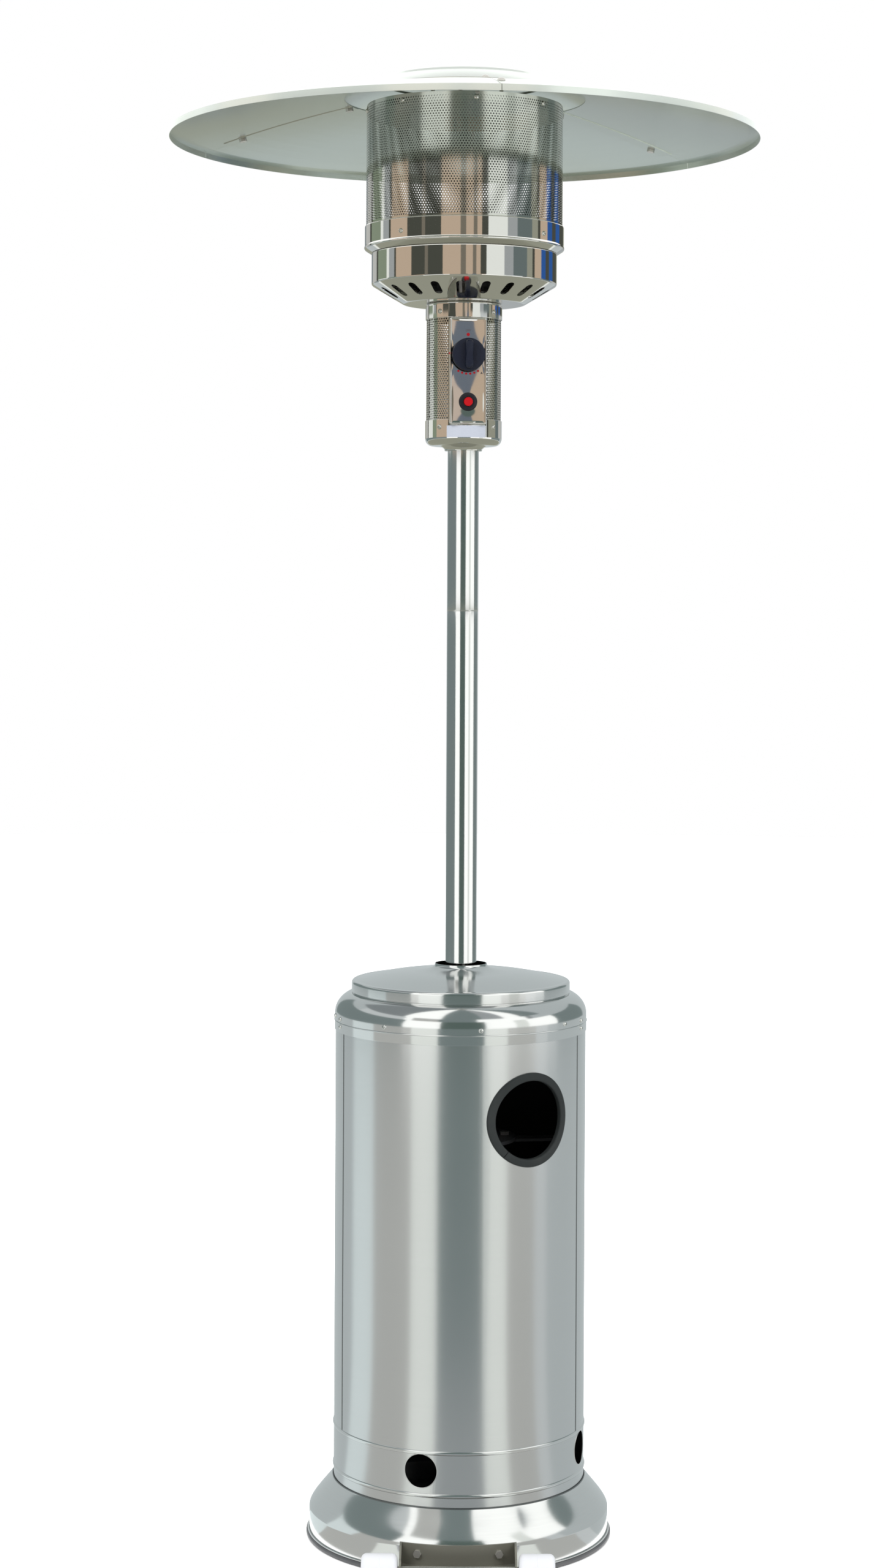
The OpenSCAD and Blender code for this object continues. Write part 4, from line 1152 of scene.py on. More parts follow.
class Housing(Assembly):
    """The cylinder housing that lifts off its seat."""

    body = "housing"
    sizes = HousingSizes()
    ring = TrimSizes()
    fold_mm = ((-0.9, -0.3), (-0.9, 0.15), (-0.5, 0.55), (0.1, 0.75), (0.7, 0.55), (1.0, 0.1), (1.0, -0.3))

    def build(self) -> None:
        """Builds the group."""
        self.keep("stainless_wall", "front_wall", "rear_wall")
        self.lower_ring()
        self.seams()
        self.shoulder()
        self.lid()
        self.trim()
        self.vent_lips()
        s = self.sizes
        places = spread(s.screws, s.screw_az, s.shoulder_r, s.screw_z)
        places += [round_about(side * s.joint_az, s.shoulder_r, z) for side in (-1, 1) for z in s.joint_z]
        self.screws("shoulder_screws", Screw(shank=6 * MM), places)

    def lower_ring(self) -> None:
        """The vented ring, with a tongue behind the walls and two bright rolled beads."""
        s = self.sizes
        line: Outline = [(s.radius, s.low + 0.4 * MM), (s.radius, s.wall_low - 0.3 * MM),
                         (s.radius - s.step, s.wall_low + 0.6 * MM), (s.radius - s.step, s.tongue_top)]
        ring = turned("lower_ring_dressed", sheet(line, 0.8 * s.metal), 256)
        foot = s.radius - s.bead_foot
        beads = [turned("bead", [(foot, z - s.bead_half),
                                 *arc((s.radius - s.bead_in, z), s.bead_r, -s.bead_turn, s.bead_turn, 14),
                                 (foot, z + s.bead_half)], 256) for z in s.beads]
        self.add(joined("lower_ring_beads", beads), "stainless_satin")
        circle = arc((0.0, 0.0), s.vent_r, 0, 355, 71)
        cut(ring, [prism("vent", circle, s.vent_cut, round_about(azimuth, s.radius, s.vent_z))
                   for azimuth in s.vent_az])
        self.add(ring, "stainless_wall", ["lower_ring"])

    def seams(self) -> None:
        """The folded edges of the front wall along both upright seams, coloured with a painted seam shade."""
        s = self.sizes
        count = len(self.fold_mm)
        points: list[Spot] = []
        faces: list[Face] = []
        for side in (-1, 1):
            seam = math.radians(side * s.seam_az)
            faces += ringed(2, count, len(points)) + capped(2, count, len(points))
            for z in (s.wall_low + s.seam_gap[0], s.wall_top + s.seam_gap[1]):
                points += [about(s.radius + out * MM, seam + across * MM / s.radius, z)
                           for across, out in self.fold_mm]
        self.add(mesh_piece("wall_seam_folds", points, faces, 60.0), "painted_seam_shade")

    def shoulder(self) -> None:
        """The rounded shoulder with its rolled bead and the tongue inside the lid."""
        s = self.sizes
        top = s.wall_top + s.shoulder_h
        bead = arc((s.shoulder_r - s.roll_in, s.roll_z), s.roll_r, -75, 75, 8)
        bend = cubic((s.shoulder_r, s.wall_top + s.skirt_h), (s.shoulder_r, s.wall_top + 0.78 * s.shoulder_h),
                     (s.lid_r + 0.42 * (s.shoulder_r - s.lid_r), top - 0.05 * s.shoulder_h),
                     (s.lid_r + s.ledge, top), 40)
        tongue = [(s.lid_r - s.step, top), (s.lid_r - s.step, s.lid_rim - s.lid_round)]
        line = [(s.shoulder_r, s.wall_top), *bead, *bend, *tongue]
        self.spun("shoulder_ring", sheet(line, 0.8 * s.metal), 256, "stainless_satin")

    def lid(self) -> None:
        """The lid, with a rolled foot, a flat rim and a neck that curls round the pole."""
        s = self.sizes
        foot = s.lid_rim + s.lid_rise
        hem = arc((s.lid_r - s.lid_hem, s.lid_z + s.lid_hem), s.lid_hem, -100, 0, 8)
        corner = arc((s.lid_r - s.lid_round, s.lid_rim - s.lid_round), s.lid_round, 0, 90, 12)
        neck = cubic((s.neck_foot_r + 3 * s.neck_h, foot - 0.15 * s.lid_rise), (s.neck_foot_r, foot),
                     (s.neck_r + s.metal, foot + 0.2 * s.neck_h), (s.neck_r + s.metal, foot + s.neck_h), 24)
        flat_r, (neck_r, _) = s.lid_r - s.lid_flat, neck[0]
        reach = (flat_r - neck_r) / 3
        rise = cubic((flat_r, s.lid_rim), (flat_r - reach, s.lid_rim + 0.38 * s.lid_rise),
                     (neck_r + reach, s.lid_rim + 0.72 * s.lid_rise), neck[0], 40)
        line = [*hem, *corner, *rise, *neck[1:]]
        self.spun("lid", sheet(line, 0.9 * s.metal), 256, "stainless_satin")

    def hole_ring(self, azimuth: float, z: float, profile: Outline, angles: Iterable[float]) -> list[Spot]:
        """Points of a ring round a hole in the wall, bent round with the wall.

        Args:
            azimuth: the hole's azimuth in degrees.
            z: its height.
            profile: the ring's profile, as reach from the hole's middle and height over the wall.
            angles: the angles at which the profile stands, in degrees.

        Returns:
            The points, profile after profile.
        """
        points: list[Spot] = []
        for angle in np.radians(list(angles)):
            for reach, out in profile:
                radius = self.sizes.radius + out
                bend = math.asin(reach * math.cos(angle) / radius)
                points.append(about(radius, math.radians(azimuth) + bend, z + reach * math.sin(angle)))
        return points

    def trim(self) -> None:
        """The rubber ring in the hand hole, whose ends meet at the lower left."""
        s, r = self.sizes, self.ring
        profile = [(r.out, r.lift), *arc((r.out - r.lip_r, r.height - r.lip_r), r.lip_r, 0, 90, 8),
                   *arc((r.mouth + r.crown_r, r.height - r.crown_r), r.crown_r, 90, 180, 10),
                   (r.mouth, r.back_r - r.back),
                   *arc((r.mouth + r.back_r, r.back_r - r.back), r.back_r, 180, 270, 6),
                   (r.fit - 0.35 * MM, -r.back), (r.fit, 0.4 * MM - r.back), (r.fit, r.lift)]
        first = r.joint + r.gap / 2
        angles = np.linspace(first, first + 360 - r.gap, r.steps + 1)
        points = self.hole_ring(s.hole_az, s.hole_z, profile, angles)
        faces = ringed(r.steps + 1, len(profile)) + capped(r.steps + 1, len(profile))
        self.add(mesh_piece("hand_hole_trim_dressed", points, faces), "trim_rubber", ["hand_hole_trim"])

    def vent_lips(self) -> None:
        """The rolled bright edges of the four vent holes."""
        s = self.sizes
        profile = arc((s.vent_r + s.lip_out, 0.0), s.lip_r, 0, 315, 7)
        turns = 96
        points: list[Spot] = []
        faces: list[Face] = []
        for azimuth in s.vent_az:
            faces += ringed(turns, len(profile), len(points), closed=True)
            points += self.hole_ring(azimuth, s.vent_z, profile, [360 * i / turns for i in range(turns)])
        self.add(mesh_piece("vent_lips", points, faces, 60.0), "stainless_polished")


@dataclass(frozen=True)
class HeadSizes:
    """Sizes of the control head in metres and degrees."""

    turn: float = 6.5
    cup_r: float = 58 * MM
    cup_low: float = 1645.5 * MM
    cup_top: float = 1683 * MM
    cup_round: float = 11 * MM
    foot_low: float = 1638 * MM
    foot_r: float = 28.6 * MM
    foot_wide: float = 37 * MM
    bore: float = 23.9 * MM
    stop: float = 19.75 * MM
    stop_z: float = 1670.15 * MM
    sleeve_r: float = 27 * MM
    sleeve_top: float = 1690 * MM
    screen_r: float = 56.5 * MM
    screen_lap: float = 14 * MM
    hole_pitch: float = 4 * MM
    hole_r: float = 1.4 * MM
    hole_wall: float = 0.8 * MM
    hole_edge: float = 2 * MM
    plain_half: float = 30.5
    collar_low: float = 1837 * MM
    collar_top: float = 1860.5 * MM
    collar_round: float = 2.5 * MM
    tube_hole: float = 8.2 * MM
    screws: int = 4
    cup_screw: float = 11 * MM
    collar_screw: float = 9 * MM
    panel_w: float = 56 * MM
    panel_low: float = 1674.5 * MM
    panel_high: float = 1836 * MM
    panel_face: float = 57.8 * MM
    panel_deep: float = 8.6 * MM
    panel_corner: float = 4 * MM
    panel_lip: float = 1 * MM
    panel_border: float = 2.6 * MM
    panel_ease: float = 3 * MM
    panel_bow: float = 0.5 * MM
    dish: Point = (36 * MM, -0.9 * MM)
    swell: Point = (22 * MM, 0.9 * MM)
    notch: float = 40 * MM
    notch_gap: float = 0.4 * MM
    knob_z: float = 1779.5 * MM
    igniter_z: float = 1709 * MM
    label_z: Point = (1656 * MM, 1673.8 * MM)
    label_half: float = 30.0
    label_turn: float = 4.5
    label_out: float = 0.12 * MM
    metal: float = 1 * MM


@dataclass(frozen=True)
class KnobSizes:
    """Sizes of the knob in metres, from the foot of its skirt; a level is a share of height and width."""

    back: float = 62.8 * MM
    bore: float = 3.06 * MM
    radius: float = 25 * MM
    foot_round: float = 1 * MM
    top_round: float = 2.4 * MM
    taper: float = 0.2 * MM
    skirt_h: float = 8 * MM
    rise: tuple[Point, ...] = ((18.5 * MM, 8.5 * MM), (12 * MM, 8.9 * MM))
    middle_h: float = 9 * MM
    grip_w: float = 6.4 * MM
    grip_l: float = 21.4 * MM
    grip_z: Point = (7.6 * MM, 19 * MM)
    waist: float = 0.16
    levels: tuple[Point, ...] = ((0.0, 1.0), (0.3, 1.0), (0.75, 0.97), (0.93, 0.9), (1.0, 0.78))


@dataclass(frozen=True)
class IgniterSizes:
    """Sizes of the igniter in metres; crown and dish are a radius with a height or depth."""

    bezel_r: float = 14 * MM
    bezel_round: float = 2.4 * MM
    bezel_side: float = 2.2 * MM
    crown: Point = (9 * MM, 4.9 * MM)
    mouth_round: float = 0.6 * MM
    mouth_h: float = 4.9 * MM
    gap: float = 0.05 * MM
    button_r: float = 6.7 * MM
    button_l: float = 13 * MM
    button_out: float = 8.5 * MM
    button_round: float = 1.2 * MM
    dish: Point = (3.6 * MM, 0.35 * MM)
    dish_d: float = 0.55 * MM


@dataclass(frozen=True)
class DialSizes:
    """Sizes of the marks round the knob, in metres and degrees from the knob's middle."""

    dot_r: float = 1.7 * MM
    top_dot: float = 30.5 * MM
    top_share: float = 1.5
    left_dot: Point = (-27.6 * MM, 2 * MM)
    row_r: float = 28.3 * MM
    row_az: float = -121.0
    row_step: float = 12.6
    row: int = 6
    arrow: Spot = (1.9 * MM, -1.2 * MM, 2 * MM)
    arrow_at: Point = (20.4 * MM, -27 * MM)
    word_h: float = 4.4 * MM
    word_z: float = 36.6 * MM
    ink: float = 0.12 * MM


class ControlHead(Assembly):
    """Pole top, cup, screen, panel, knob and igniter."""

    sizes = HeadSizes()
    grip = KnobSizes()
    button = IgniterSizes()
    dial = DialSizes()

    def build(self) -> None:
        """Builds the group."""
        self.keep("stainless_tube", "pole")
        self.keep("brass", "gas_inlet", "gas_valve", "valve_plunger")
        self.keep("copper_tube", "gas_tube")
        self.keep("zinc_steel", "valve_stem")
        self.keep("black_plastic", "tilt_switch", "igniter_body")
        self.coupling()
        self.cup_and_collar()
        self.screen()
        self.panel()
        self.knob()
        self.igniter()
        self.marks()
        self.label()
        s = self.sizes
        heights = {"cup_screws": s.cup_top - s.cup_screw, "collar_screws": s.collar_low + s.collar_screw}
        for node, z in heights.items():
            self.screws(node, Screw(), spread(s.screws, s.turn + 45, s.cup_r, z))

    def coupling(self) -> None:
        """The ring under the cup, swept out to meet it, and the sleeve round the pole's top."""
        s = self.sizes
        sweep = cubic((s.foot_r, s.foot_low + 2.2 * MM), (s.foot_r + 1.0 * MM, s.foot_low + 4.6 * MM),
                      (s.foot_r + 4.4 * MM, s.foot_low + 6.2 * MM), (s.foot_wide, s.cup_low), 12)
        outline = [(s.bore, s.foot_low + 0.4 * MM), (s.bore + 0.4 * MM, s.foot_low),
                   (s.foot_r - 0.7 * MM, s.foot_low), (s.foot_r - 0.1 * MM, s.foot_low + 0.6 * MM), *sweep,
                   (s.sleeve_r, s.cup_low), (s.sleeve_r, s.sleeve_top), (s.stop, s.sleeve_top),
                   (s.stop, s.stop_z), (s.bore, s.stop_z)]
        self.spun("head_coupling", outline, 128, "stainless_polished")

    def cup_and_collar(self) -> None:
        """The spun cup under the controls and the collar over them."""
        s = self.sizes
        cup_line = [(s.sleeve_r + 0.2 * MM, s.cup_low),
                    *arc((s.cup_r - s.cup_round, s.cup_low + s.cup_round), s.cup_round, -90, 0, 20),
                    (s.cup_r, s.cup_top)]
        cup = turned("control_cup_dressed", sheet(cup_line, s.metal), 160)
        half = s.panel_w / 2 + s.notch_gap
        low, high = -s.notch_gap, s.notch - s.notch_gap
        outline = [(-half, low), (half, low), (half, high), (-half, high)]
        place = round_about(s.turn, s.cup_r + 2 * MM, s.panel_low)
        cut(cup, [prism("notch", outline, s.notch / 2, place)])
        self.add(cup, "stainless_polished", ["control_cup"])
        bend = s.collar_round
        collar_line = [(s.cup_r, s.collar_low),
                       *arc((s.cup_r - bend, s.collar_top - bend), bend, 0, 90, 12),
                       (s.tube_hole, s.collar_top)]
        self.spun("control_collar", sheet(collar_line, s.metal), 160, "stainless_polished")

    def screen(self) -> None:
        """The perforated screen, plain behind and beside the panel."""
        s = self.sizes

        def holed(azimuth: float, z: float) -> bool:
            """Whether there is a hole at this place."""
            off = (azimuth - s.turn + 180.0) % 360.0 - 180.0
            return abs(off) > s.plain_half and s.cup_top + s.hole_edge < z < s.collar_low - s.hole_edge

        sheet_of_holes = Perforation(s.screen_r, s.cup_top - s.screen_lap, s.collar_low + s.screen_lap,
                                     s.hole_pitch, s.hole_r, holed, turn=s.turn, wall=s.hole_wall)
        self.add(sheet_of_holes.build("control_screen_dressed"), "stainless_perforated", ["control_screen"])

    def face(self, x: float, z: float) -> float:
        """The panel's height over its flat: a raised border, a dish behind the knob, a swell at the igniter.

        Args:
            x: the place across, from the panel's middle.
            z: the place's height.

        Returns:
            The height.
        """
        s = self.sizes
        half_w, half_h = s.panel_w / 2, (s.panel_high - s.panel_low) / 2
        up = abs(z - s.panel_low - half_h)
        dx, dz = max(abs(x) - half_w + s.panel_corner, 0.0), max(up - half_h + s.panel_corner, 0.0)
        edge = s.panel_corner - math.hypot(dx, dz) if dx or dz else min(half_w - abs(x), half_h - up)
        if edge < s.panel_border:
            return s.panel_lip * math.sin(math.pi * max(edge / s.panel_border, 0.0)) ** 0.8
        height = s.panel_bow * (1 - (x / half_w) ** 2)
        for middle, (reach, rise) in ((s.knob_z, s.dish), (s.igniter_z, s.swell)):
            height += rise * math.exp(-((x / reach) ** 2 + ((z - middle) / reach) ** 2) * 1.6)
        return height * min(1.0, (edge - s.panel_border) / s.panel_ease)

    def panel(self) -> None:
        """The pressed panel, with a border bent back round it."""
        s = self.sizes
        half_w, half_h = s.panel_w / 2, (s.panel_high - s.panel_low) / 2
        mid = (s.panel_low + s.panel_high) / 2
        across, up = 74, 200
        turn = Matrix.Rotation(math.radians(s.turn), 4, "Z")
        points: list[Vector] = []
        for j in range(up + 1):
            for i in range(across + 1):
                x, z = self._rounded(self._crowded(i / across) * half_w, self._crowded(j / up) * half_h,
                                     half_w, half_h, s.panel_corner)
                points.append(turn @ Vector((x, -s.panel_face - self.face(x, mid + z), mid + z)))
        row = across + 1
        rim = [*range(row), *[j * row + across for j in range(1, up + 1)],
               *[up * row + i for i in range(across - 1, -1, -1)], *[j * row for j in range(up - 1, 0, -1)]]
        start = len(points)
        deep = turn.to_3x3() @ Vector((0.0, s.panel_deep, 0.0))
        points += [points[i] + deep for i in rim]
        faces = gridded(across, up)
        faces += [(rim[k], start + k, start + (k + 1) % len(rim), rim[(k + 1) % len(rim)])
                  for k in range(len(rim))]
        self.add(mesh_piece("control_panel_dressed", points, faces, 50.0, outward=False),
                 "stainless_polished", ["control_panel"])

    @staticmethod
    def _crowded(share: float) -> float:
        """Maps 0..1 to -1..1 with the steps closer together near the ends."""
        t = 2 * share - 1
        return 0.55 * t + 0.45 * math.sin(t * math.pi / 2)

    @staticmethod
    def _rounded(x: float, z: float, half_w: float, half_h: float, corner: float) -> Point:
        """Pulls a point of a rectangle's corner into a rounded one.

        Args:
            x: the point's place across.
            z: its place upwards.
            half_w: half the rectangle's width.
            half_h: half its height.
            corner: the corner's radius.

        Returns:
            The moved point.
        """
        dx, dz = abs(x) - (half_w - corner), abs(z) - (half_h - corner)
        if dx <= 0 or dz <= 0:
            return x, z
        u, v = dx / corner, dz / corner
        return (math.copysign(half_w - corner + corner * u * math.sqrt(1 - v * v / 2), x),
                math.copysign(half_h - corner + corner * v * math.sqrt(1 - u * u / 2), z))

    def on_panel(self, piece: bpy.types.Object, out: float, z: float) -> bpy.types.Object:
        """Moves a piece made on its own +Z to the panel, with its foot at a reach and a height."""
        piece.data.transform(round_about(self.sizes.turn, out, z))
        return piece

    def knob(self) -> None:
        """The press-and-turn knob: a rounded skirt and a waisted grip bar."""
        k = self.grip
        top = (k.radius - k.taper - k.top_round, k.skirt_h - k.top_round)
        skirt = [(k.bore, 0.0), *arc((k.radius - k.foot_round, k.foot_round), k.foot_round, -90, 0, 6),
                 *arc(top, k.top_round, 0, 90, 10), *k.rise, (k.bore, k.middle_h)]
        body = turned("knob_body", skirt, 128)
        points: list[Spot] = []
        turns = 96
        low, high = k.grip_z
        for level, share in k.levels:
            for i in range(turns):
                cos, sin = math.cos(math.tau * i / turns), math.sin(math.tau * i / turns)
                x = math.copysign(abs(cos) ** 0.55, cos) * k.grip_w * share
                y = math.copysign(abs(sin) ** 0.75, sin) * k.grip_l * (0.35 + 0.65 * share)
                inner = abs(y) < k.grip_l - 0.4 * MM
                waist = 1.0 - (k.waist * math.cos(math.pi * y / k.grip_l) if inner else 0.0)
                points.append((x * waist, y, low + (high - low) * level))
        grip = mesh_piece("knob_grip", points, ringed(len(k.levels), turns) + capped(len(k.levels), turns))
        knob = self.on_panel(joined("control_knob_dressed", [body, grip], 40.0), k.back, self.sizes.knob_z)
        self.add(knob, "knob_plastic", ["control_knob"], body="knob")

    def igniter(self) -> None:
        """The igniter's domed bezel and its dished red button."""
        s, b = self.sizes, self.button
        bore = b.button_r + b.gap
        bezel = [(bore, 0.0), (b.bezel_r, 0.0),
                 *arc((b.bezel_r - b.bezel_round, b.bezel_side), b.bezel_round, 0, 80, 10), b.crown,
                 *arc((bore + b.mouth_round, b.mouth_h - b.mouth_round), b.mouth_round, 90, 180, 5)]
        self.add(self.on_panel(turned("igniter_bezel_dressed", bezel, 96), s.panel_face, s.igniter_z),
                 "black_plastic", ["igniter_bezel"])
        button = [(0.0, -b.button_l), (b.button_r, -b.button_l),
                  *arc((b.button_r - b.button_round, -b.button_round), b.button_round, 0, 90, 8),
                  (b.dish[0], -b.dish[1]), (0.0, -b.dish_d)]
        front = s.panel_face + b.button_out
        self.add(self.on_panel(turned("igniter_button_dressed", button, 64), front, s.igniter_z),
                 "button_plastic", ["igniter_button"], body="igniter")

    def marks(self) -> None:
        """The printed dots round the knob, the arrow under them and the word for the off stop."""
        d = self.dial
        angles = [math.radians(d.row_az + d.row_step * k) for k in range(d.row)]
        centres = [d.left_dot, *[(d.row_r * math.cos(a), d.row_r * math.sin(a)) for a in angles]]
        dots = [arc((0.0, d.top_dot), d.top_share * d.dot_r, 0, 342, 19)]
        dots += [arc(centre, d.dot_r, 0, 342, 19) for centre in centres]
        self.print_on(self.flat_marks("dial_dots", dots), "dial_red")
        (half, foot, tip), (x, y) = d.arrow, d.arrow_at
        arrow = [(x - half, y + foot), (x + half, y + foot), (x, y + tip)]
        self.print_on(self.flat_marks("dial_arrow", [arrow]), "dial_ink")
        curve = bpy.data.curves.new("off_word", "FONT")
        curve.body, curve.size, curve.align_x, curve.align_y = "OFF", d.word_h, "CENTER", "CENTER"
        word = bpy.data.objects.new("off_word", curve)
        mesh = bpy.data.meshes.new_from_object(word)
        bpy.data.objects.remove(word)
        mesh.transform(Matrix.Translation((0.0, d.word_z, 0.0)))
        lettering = bpy.data.objects.new("off_mark", mesh)
        bpy.context.scene.collection.objects.link(lettering)
        self.print_on(lettering, "dial_ink")

    @staticmethod
    def flat_marks(name: str, outlines: Sequence[Outline]) -> bpy.types.Object:
        """Makes one flat piece of several marks.

        Args:
            name: the piece's name.
            outlines: each mark's outline, from the knob's middle.

        Returns:
            The piece.
        """
        points: list[Spot] = []
        faces: list[Face] = []
        for outline in outlines:
            faces.append(tuple(range(len(points), len(points) + len(outline))))
            points += [(x, y, 0.0) for x, y in outline]
        return mesh_piece(name, points, faces, outward=False)

    def print_on(self, mark: bpy.types.Object, finish: str) -> None:
        """Lays a flat mark, made round the knob's middle, on the panel's face.

        Args:
            mark: the mark.
            finish: its finish.
        """
        s = self.sizes
        for corner in mark.data.vertices:
            x, y, _ = corner.co
            corner.co.z = self.face(x, s.knob_z + y) + self.dial.ink
        self.add(self.on_panel(mark, s.panel_face, s.knob_z), finish)

    def label(self) -> None:
        """A bare adhesive label round the cup's front."""
        s = self.sizes
        steps, rows = 48, 6
        points = [about(s.cup_r + s.label_out, math.radians(s.label_turn + x), z)
                  for z in np.linspace(*s.label_z, rows + 1)
                  for x in np.linspace(-s.label_half, s.label_half, steps + 1)]
        self.add(mesh_piece("blank_label", points, gridded(steps, rows), outward=False), "blank_label")


@dataclass(frozen=True)
class BurnerSizes:
    """Sizes of the burner in metres and degrees."""

    turn: float = 6.5
    low: float = 1860.5 * MM
    tube_hole: float = 8.2 * MM
    foot_r: float = 92 * MM
    radius: float = 140.5 * MM
    cone_top: float = 1889.5 * MM
    top: float = 1937 * MM
    lip: float = 8 * MM
    bend: float = 2.2 * MM
    slots: int = 20
    slot_w: float = 13 * MM
    slot_l: float = 30 * MM
    slot_cut: float = 6 * MM
    slot_phase: float = 9.0
    band_r: float = 151 * MM
    band_wide: float = 1945.5 * MM
    band_top: float = 1977.5 * MM
    band_roll: float = 3 * MM
    band_screws: int = 4
    band_screw: float = 12 * MM
    screen_r: float = 149 * MM
    screen_top: float = 2160 * MM
    hole_pitch: float = 4.3 * MM
    hole_r: float = 1.2 * MM
    top_screws: int = 8
    top_screw: float = 9 * MM
    metal: float = 1 * MM


class Burner(Assembly):
    """Slotted shell, band, emitter screen and what is inside."""

    sizes = BurnerSizes()

    def build(self) -> None:
        """Builds the group."""
        self.keep("painted_steel", "burner_head")
        self.keep("zinc_steel", "burner_tube", "pilot_burner")
        self.keep("copper_tube", "thermocouple")
        self.keep("ceramic", "spark_electrode")
        self.keep("stainless_perforated", "screen_top_plate")
        self.shell()
        self.band()
        self.screen()
        s = self.sizes
        self.screws("band_screws", Screw(shank=5 * MM),
                    spread(s.band_screws, s.turn + 45, s.band_r, s.band_wide + s.band_screw))
        self.screws("top_screws", Screw(shank=4 * MM),
                    spread(s.top_screws, s.turn, s.screen_r, s.screen_top - s.top_screw))

    def shell(self) -> None:
        """The spun shell, with its slots cut square to the cone."""
        s = self.sizes
        line = eased([(s.tube_hole, s.low), (s.foot_r, s.low), (s.radius, s.cone_top), (s.radius, s.top),
                      (s.radius - s.lip, s.top)], s.bend, 6)
        shell = turned("burner_shell_dressed", sheet(line, s.metal), 240)
        slope = math.atan2(s.cone_top - s.low, s.radius - s.foot_r)
        reach, height = (s.radius + s.foot_r) / 2, (s.cone_top + s.low) / 2
        tilt = Matrix.Translation((0.0, -reach, height)) @ Matrix.Rotation(-slope, 4, "X")
        half, end = (s.slot_l - s.slot_w) / 2, s.slot_w / 2
        outline = [*arc((0.0, half), end, 0, 180, 12), *arc((0.0, -half), end, 180, 360, 12)]
        azimuths = [math.radians(s.turn + s.slot_phase + 360 / s.slots * i) for i in range(s.slots)]
        cut(shell, [prism("slot", outline, s.slot_cut, Matrix.Rotation(a, 4, "Z") @ tilt) for a in azimuths])
        self.add(shell, "stainless_polished", ["burner_shell"])

    def band(self) -> None:
        """The band round the emitter's foot, with a rolled lower bead and a thin top lip."""
        s = self.sizes
        line = [(s.radius - s.lip, s.top), (s.radius + 1 * MM, s.top),
                *arc((s.band_r - 2.2 * MM, s.band_wide - 0.4 * MM), s.band_roll, -50, 15, 8),
                (s.band_r, s.band_wide + 2.4 * MM), (s.band_r, s.band_top - 1.2 * MM),
                (s.band_r - 0.4 * MM, s.band_top - 0.3 * MM), (s.band_r - 1.2 * MM, s.band_top)]
        self.spun("emitter_band", sheet(line, 0.8 * s.metal), 240, "stainless_polished")

    def screen(self) -> None:
        """The perforated emitter screen, plain at its two edges."""
        s = self.sizes

        def holed(azimuth: float, z: float) -> bool:
            """Whether there is a hole at this place."""
            return s.band_top + 1 * MM < z < s.screen_top - 4 * MM

        sheet_of_holes = Perforation(s.screen_r, s.band_wide + 0.3 * MM, s.screen_top, s.hole_pitch, s.hole_r,
                                     holed)
        self.add(sheet_of_holes.build("emitter_screen_dressed"), "stainless_perforated", ["emitter_screen"])


class Reflector(Assembly):
    """Three lapped panels, the disc over them and their fasteners."""

    def build(self) -> None:
        """Builds the group."""
        self.keep("zinc_steel", "panel_bolts", "reflector_studs", "stud_nuts")
        self.keep("reflector_aluminium", "reflector_panel_1", "reflector_panel_2", "reflector_panel_3",
                  "reflector_disc")


# Studio


class Card(Enum):
    """Colours of the cards that hang and lie round the heater and show only in its metal."""

    WHITE = (1.45, 1.47, 1.45)
    CLOUD = (0.98, 1.02, 0.98)
    MIST = (0.86, 0.95, 0.96)
    DEW = (0.56, 0.61, 0.62)
    ASH = (0.57, 0.58, 0.56)
    STEEL = (0.28, 0.31, 0.32)
    SLATE = (0.23, 0.28, 0.28)
    PINE = (0.12, 0.165, 0.15)
    SAND = (0.62, 0.49, 0.37)
    UMBER = (0.08, 0.085, 0.07)
    BARK = (0.22, 0.2, 0.16)
    SAGE = (0.36, 0.37, 0.3)
    FERN = (0.28, 0.34, 0.25)
    BLUE = (0.035, 0.12, 0.4)
    DUSK = (0.16, 0.2, 0.2)
    PEWTER = (0.42, 0.45, 0.46)
    HAZE = (0.7, 0.74, 0.75)
    INK = (0.17, 0.2, 0.245)
    ROSE = (0.66, 0.55, 0.47)

    def material(self) -> bpy.types.Material:
        """The card's own glow."""
        graph = Graph("card_" + self.name.lower())
        glow = graph.node("ShaderNodeEmission", sockets={"Color": (*self.value, 1.0), "Strength": 1.0})
        graph.tree.links.new(glow.socket, graph.output.inputs["Surface"])
        graph.material.cycles.emission_sampling = "NONE"
        return graph.material


@dataclass(frozen=True)
class Curtain:
    """A ring of cards, upright, flat or sloping.

    Attributes:
        name: its name.
        low: its first edge's height.
        high: its other edge's height.
        cards: (last azimuth, card) in order, from -180 degrees.
        reach: the first edge's distance from the axis.
        top_reach: the other edge's distance.
    """

    name: str
    low: float
    high: float
    cards: tuple[tuple[float, Card], ...]
    reach: float = 1.25
    top_reach: float = 1.25


@dataclass(frozen=True)
class Lamp:
    """A round soft light, with its diameter in metres and its power in watts."""

    name: str
    place: Spot
    size: float
    power: float
    aim: Spot = (0.0, 0.0, 0.9)


@dataclass(frozen=True)
class View:
    """The camera's lens in millimetres, its place in metres and its turns in degrees."""

    sensor: float = 36.0
    lens: float = 67.92
    shift: Point = (-0.0163, -0.1106)
    clip: Point = (0.05, 100.0)
    place: Spot = (0.0, -4.493, 1.396)
    tilt: float = 90.0
    roll: float = -0.27


